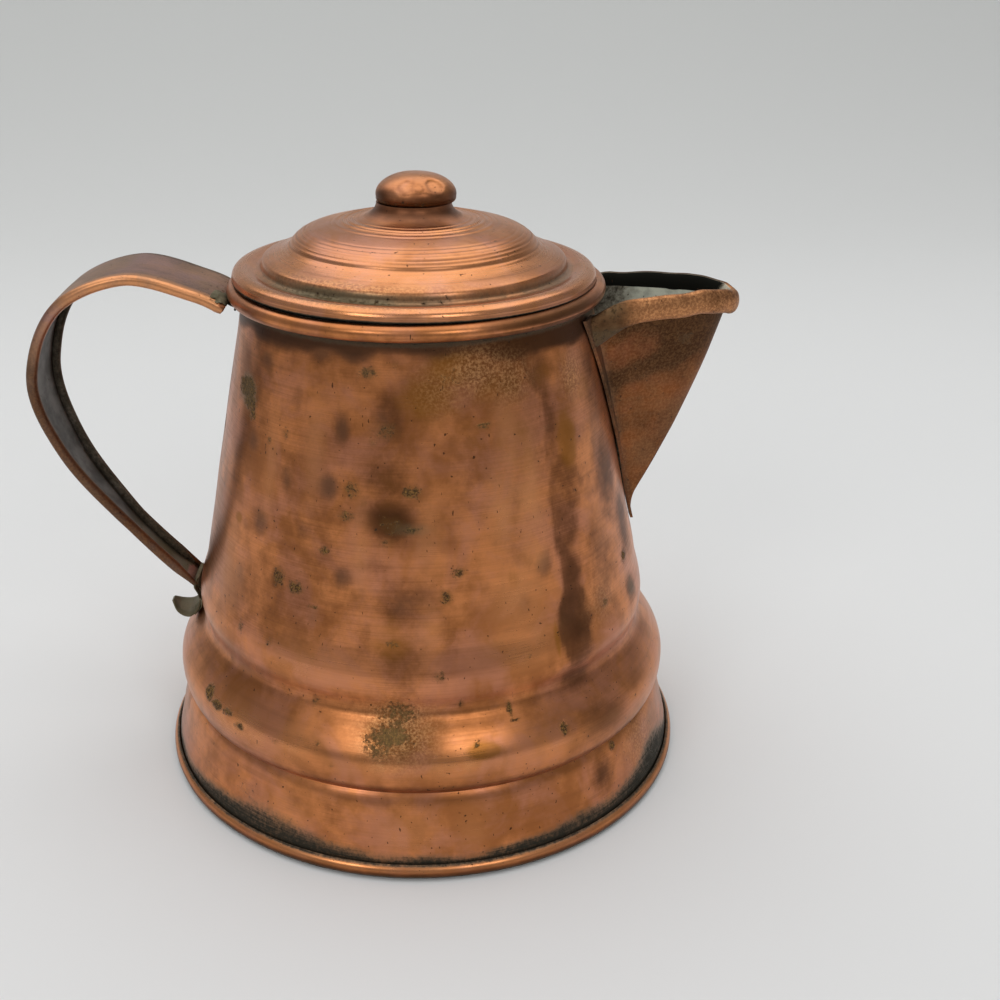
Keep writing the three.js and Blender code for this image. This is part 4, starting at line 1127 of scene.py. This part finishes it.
def spout_masks(points, rings):
    """Where the spout is tarnished, grimy, rubbed or tinned, and where shade and highlights are
    painted on it. The points of the folded sheet come first, ring by ring, and those of the lip
    after them, 60 to a ring."""
    x, y, height = points.T
    radius = np.hypot(x, y)
    number, sheet_count = np.arange(len(points)), rings.shape[0] * rings.shape[1]
    is_lip = number >= sheet_count
    column = np.where(is_lip, (number - sheet_count) % 60, number % rings.shape[1])
    inside = ~is_lip & (column >= 88) & (column < 149)
    hollow = is_lip & (column < 11)
    far = ease(y, 0.5, 3.0)
    near_wall = 1 - ease(radius - wall_radius(height), 0.6, 3.0)
    near_end = ease(-x, -39, -33)
    lip_foot = 1 - ease(height, 83.6, 84.8)
    under_lip = ease(height, 78, 84.5)
    blot = near(x, 46.5, 4.0) * near(height, 80.0, 2.6)
    slant = near(height - 0.35 * (x - 42), 76.0, 2.4) * ease(50 - x, 0, 5)
    uneven = hills(height / 4, x / 4, 45)
    inner_grime = 0.15 + 0.5 * ease(-x, -42, -36) + 0.5 * ease(radius, 52, 58)
    # Painted shade darkens the sheet along the wall at the flanges, under the lip, the lip's lower
    # edge and far side, and the far lip's hollow; painted highlights lighten the near side of the
    # lip and the lower front of the sides.
    return {"along": height, "tin": inside | (hollow & (y > 0)), **either(is_lip, {
        "tarnish_and_shade": (0.58 + 0.6 * far + 1.2 * near_end + 1.0 * lip_foot,
                    0.42 + 0.45 * under_lip + 0.2 * near_wall + 1.4 * blot + 0.9 * slant
                    + 0.40 * hills(height / 7, x / 5, 44)),
        "patina_and_shade": (0.2 + 0.25 * near_end, 0.12 + 0.2 * near_wall + 0.2 * blot),
        "grime_and_shade": (np.maximum(1.3 * far * hollow, 0.45 * lip_foot),
                  np.where(inside, inner_grime, 0.35 * near_wall + 0.35 * blot)),
        "smoke_and_shade": (0, ~inside * (0.75 * near_wall + 0.3 * under_lip)),
        "wear_and_highlight": ((1 - far) * 0.8 * (1 - 0.8 * near_end) * (1 - 0.7 * lip_foot),
                  0.13 * (1 - near_wall) * (1 - ease(height, 70, 78)) * (1 + uneven)),
        "grain": ((1 - far) * 0.6 * (1 - near_end), 0.18 * ~inside),
        "green": (0.45 * near_end, np.where(inside, 0.25, 0.3 * blot + 0.15 * near_wall)),
    })}


def make_spout():
    """The spout: the folded sheet, which follows the wall's dents where it lies on the wall
    and is a little buckled further out, and the rolled lip on its edge."""
    rings = spout_rings()
    points, faces = loft(rings)
    angle, radius, height = around(points)
    lying = 1 - ease(radius - wall_radius(height), 1.5, 6.0)
    push = dent(angle, height) * lying
    buckle = 0.16 * hills(height / 6, points[:, 0] / 5, 43) * (1 - lying) * ease(height, 50, 56)
    points[:, 1] += push * np.sin(np.radians(angle)) + np.sign(points[:, 1]) * buckle
    points[:, 0] += push * np.cos(np.radians(angle))
    points, faces = join_shells([(points, faces), loft(lip_rings())])
    mesh = make_mesh("spout sheet", points, faces)
    masks = spout_masks(points, rings)
    make_piece("spout", mesh, SPOUT_COPPER, masks, "pot", "spout_shell")


# Handle

def strap_line(steps):
    """Outer face of the strap in the plane of x and z, as a curve through chosen places: up
    the neck, over the top, down the back, in to the belly and out again in a small curl.
    Between two places it is a cubic whose slopes come from the distances to the
    neighbours to the power of a half."""
    top, under_rim, belly = -(wall_radius(np.array((85.8, 86.5, 32.0))) + SEAT_GAP)
    places = np.array([
        (top, 85.8), (under_rim, 86.5), (-31.9, 87.2), (-33.1, 88.3), (-37.4, 90.25),
        (-48.8, 93.1), (-61.5, 87.9), (-67.5, 74.0), (-64.2, 59.7), (-56.6, 47.2),
        (-47.4, 36.0), (belly - 0.65, 31.6), (belly - 0.6, 28.3), (-44.6, 26.0),
        (-46.7, 26.4), (-47.9, 27.8),
    ])
    ends = np.concatenate([[2 * places[0] - places[1]], places, [2 * places[-1] - places[-2]]])
    p0, p1, p2, p3 = ends[:-3], ends[1:-2], ends[2:-1], ends[3:]
    g0, g1, g2 = (
        np.linalg.norm(b - a, axis=1, keepdims=True) ** 0.5
        for a, b in ((p0, p1), (p1, p2), (p2, p3)))
    leave = ((p1 - p0) / g0 - (p2 - p0) / (g0 + g1) + (p2 - p1) / g1) * g1
    arrive = ((p2 - p1) / g1 - (p3 - p1) / (g1 + g2) + (p3 - p2) / g2) * g1
    t = np.linspace(0, 1, steps, endpoint=False)[None, :, None]
    p1, p2, leave, arrive = (value[:, None, :] for value in (p1, p2, leave, arrive))
    curve = p1 + leave * t + (3 * (p2 - p1) - 2 * leave - arrive) * t ** 2
    curve = curve + (leave + arrive - 2 * (p2 - p1)) * t ** 3
    return np.concatenate([curve.reshape(-1, 2), places[-1:]])


def carried(line, sections):
    """Closed sections of (across, out) carried along a line in the plane of x and z."""
    way = np.gradient(line, axis=0)
    way /= np.linalg.norm(way, axis=1, keepdims=True)
    out = np.stack([way[:, 1], -way[:, 0]], 1)
    x = line[:, None, 0] + out[:, None, 0] * sections[..., 1]
    z = line[:, None, 1] + out[:, None, 1] * sections[..., 1]
    return np.stack([x, sections[..., 0], z], -1)


def rolled_sections(half, roll):
    """Section of the strap with both edges rolled in round their wires, for each half width
    and each radius of the rolls."""
    flat, roll, half = np.linspace(-1, 1, 11)[None, 1:-1], roll[:, None], half[:, None]
    hollow = roll * 0.5
    outer_far, inner_far, inner_near, outer_near = (
        arc((0, 0), (1, 1), *turn) for turn in (
            (90, -200, 30), (-200, 90, 16), (90, 380, 16), (380, 90, 30)))
    middle = half - roll
    across = np.concatenate([
        middle * flat, middle + roll * outer_far[:, 0], middle + hollow * inner_far[:, 0],
        -middle * flat, -middle + hollow * inner_near[:, 0], -middle + roll * outer_near[:, 0],
    ], 1)
    crown = 0.10 * (1 - flat ** 2) + 0 * roll
    out = np.concatenate([
        crown, roll * (outer_far[:, 1] - 1), hollow * inner_far[:, 1] - roll, crown - hollow,
        hollow * inner_near[:, 1] - roll, roll * (outer_near[:, 1] - 1),
    ], 1)
    return np.stack([across, out], -1)


def flat_sections(half):
    """Plain section of the strap, slightly rounded at its edges, for each half width."""
    flat = np.linspace(-1, 1, 15)
    across = np.concatenate([half[:, None] * flat, half[:, None] * flat[::-1]], 1)
    edge = 0.12 * np.abs(flat) ** 12
    out = np.concatenate([-edge, edge[::-1] - STRAP_SHEET])
    return np.stack([across, np.broadcast_to(out, across.shape)], -1)


def make_handle():
    """The handle: the strap with rolled edges from the rim to the belly, a plain flat tab
    above it and a plain curl below it. The strap is widest in its upper part, tapers down to
    the belly, and its curl narrows to a point."""
    steps = 14
    line = strap_line(steps)
    first, last, tail = 3 * steps, 11 * steps - 2, 12 * steps
    index, still = np.arange(len(line)), np.zeros(len(line))
    tapered = mix(STRAP_TAIL_HALF_WIDTH, STRAP_HALF_WIDTH, span(line[:, 1], 44, 76))
    curled = np.maximum(index - tail, 0) / (len(line) - 1 - tail)
    half = mix(tapered, CURL_TIP_HALF_WIDTH, curled ** 2.2) + 0.05 * hills(index / 11, still, 51)
    roll = mix(ROLL, 0.5, ease(index, last - 12, last)) + 0.03 * hills(index / 5, still, 53)
    middle = slice(first, last + 1)

    # Two more rings close the rolls toward the rim
    start = line[first]
    way = (start - line[first + 1]) / np.linalg.norm(start - line[first + 1])
    path = np.concatenate([[start + 1.3 * way, start + 1.1 * way], line[middle]])
    rolled = np.concatenate([roll[first] * np.array((0.55, 0.9)), roll[middle]])
    wide = np.concatenate([half[first] - (0.42, 0.1), half[middle]])
    parts = (
        rolled_sections(wide, rolled),
        flat_sections(np.full(first + 1, TAB_HALF_WIDTH)),
        flat_sections(half[last:]),
    )
    lines = (path, line[:first + 1], line[last:])
    points, faces = join_shells([loft(carried(*pair)) for pair in zip(lines, parts)])
    mesh = make_mesh("handle strap", points, faces)

    def on_rings(*values):
        """A value for each ring of the three parts, given to all the ring's points."""
        return np.concatenate([
            np.repeat(np.broadcast_to(value, len(part)), part.shape[1])
            for value, part in zip(values, parts)])

    gone = travelled(line)
    across, out = np.concatenate([part.reshape(-1, 2) for part in parts]).T
    from_edge = on_rings(wide, half[:first + 1], half[last:]) - np.abs(across)
    travel = on_rings(travelled(path) + gone[first] - 1.3, gone[:first + 1], gone[last:])
    inner = (out < -0.25) & (from_edge > 1.25)
    edge = (from_edge < 1.3) & ~inner
    joint = near(travel, gone[first], 4.0)
    foot = ease(travel, gone[last] - 4, gone[last] + 4)
    # Painted shade darkens the rolled edges down the loop, and a painted highlight lightens the
    # near edge along the top.
    masks = {
        "along": across * 1.4,
        "tarnish_and_shade": 0.15 + 0.2 * hills(travel / 6, across / 3, 52) + 0.5 * foot
                   + 0.25 * (1 - ease(travel, 12, 22))
                   + edge * (0.85 * ease(travel, 34, 48) + 0.6 * (across > 0)),
        "patina_and_shade": 0.12 + 0.35 * joint * (out > -0.3) + 0.15 * foot,
        "grime_and_shade": np.where(inner & (from_edge < 2.0), 0.7, 0.2 * inner) + on_rings(0, 1, 0),
        "wear_and_highlight": edge * (across < 0) * (1 - foot) * (0.1 + 0.9 * (1 - ease(travel, 24, 38))),
        "green": 0.3 * joint * (across < 0) + 0.85 * foot + 0.8 * inner * ease(travel, 72, 92),
        "honey": 0.2 * foot + 0.3 * ~inner * ease(travel, 74, 84) * (1 - foot),
        "grain": 0.15 * ~inner,
        "tin": inner,
    }
    make_piece("handle", mesh, HANDLE_COPPER, masks, "pot", "handle_strap")
    make_edge_wires(line[middle], half[middle], roll[middle])


def make_edge_wires(line, half, roll):
    """The wires in the strap's two edges: round sections carried along the middles of the
    rolls, thinner where the roll is."""
    ring = arc((0, 0), (1, 1), 0, 345, 23)
    thick = EDGE_WIRE * roll[:, None] / ROLL
    out = thick * ring[:, 1] - roll[:, None]
    for name, side, node in (("near_edge_wire", -1, "handle_wire_near"),
                             ("far_edge_wire", 1, "handle_wire_far")):
        across = side * (half - roll)[:, None] + thick * ring[:, 0]
        mesh = closed_mesh(name, *loft(carried(line, np.stack([across, out], -1))))
        make_piece(name, mesh, IRON, {}, "pot", node)


def make_lump(name, places, middle, half, thick, node):
    """A flattened lump of solder: a row of squarish ovals carried along a line through the
    places, uneven in size and smaller toward both ends."""
    line, count = np.array(places), 40
    t, number = np.linspace(0, len(line) - 1, count), np.arange(len(line))
    line = np.stack([np.interp(t, number, line[:, 0]), np.interp(t, number, line[:, 1])], 1)
    a, ring = np.broadcast_arrays(
        np.linspace(0, 2 * np.pi, 72, endpoint=False), np.arange(count)[:, None])
    swell = np.sin(np.pi * np.linspace(0.04, 0.96, count))[:, None] ** 0.5
    rough = 1 + 0.16 * hills(a * 2, ring / 5, 71)
    square = np.sign(np.cos(a)) * np.abs(np.cos(a)) ** 0.6
    across = middle + half * square * mix(swell, 1, 0.6) * rough
    out = thick * np.sin(a) * swell * rough
    mesh = closed_mesh(name, *loft(carried(line, np.stack([across, out], -1))))
    make_piece(name, mesh, VERDIGRIS, {}, "pot", node)


def make_solder():
    """Two lumps of solder: one on the belly under the handle's foot and one at the near
    side of the handle's top, where it meets the rim."""
    off_wall = (
        (33.6, 0.7), (33.0, 0.9), (32.2, 0.9), (31.0, 0.6),
        (30.0, 0.5), (28.0, 0.6), (26.6, 0.8), (25.9, 0.5))
    under_foot = [(-(wall_radius(height) + out), height) for height, out in off_wall]
    at_rim = (
        (-35.0, 89.0), (-34.4, 88.8), (-33.7, 88.55), (-33.0, 88.25), (-32.4, 87.9),
        (-32.0, 87.5))
    make_lump("handle_foot_solder", under_foot, 0.0, 4.5, 0.7, "handle_bottom_solder")
    make_lump("handle_rim_solder", at_rim, -5.3, 2.9, 0.5, "handle_top_solder")


# Solids that stay as they are

def dress(finish, *names):
    """Gives solids their metal, through their material slots."""
    for name in names:
        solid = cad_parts[name]
        if not solid.material_slots:
            solid.data.materials.append(finish)
        for slot in solid.material_slots:
            slot.material = finish


place_camera()
place_floor()
light_scene()
make_body()
make_bottom()
make_crown()
make_knob()
make_collar()
make_spout()
make_handle()
make_solder()
dress(IRON, "rim_wire", "spout_lip_wire")
dress(TIN, "bottom_solder", "spout_solder_near", "spout_solder_far")
dress(TIN, "lid_collar_solder", "knob_solder")
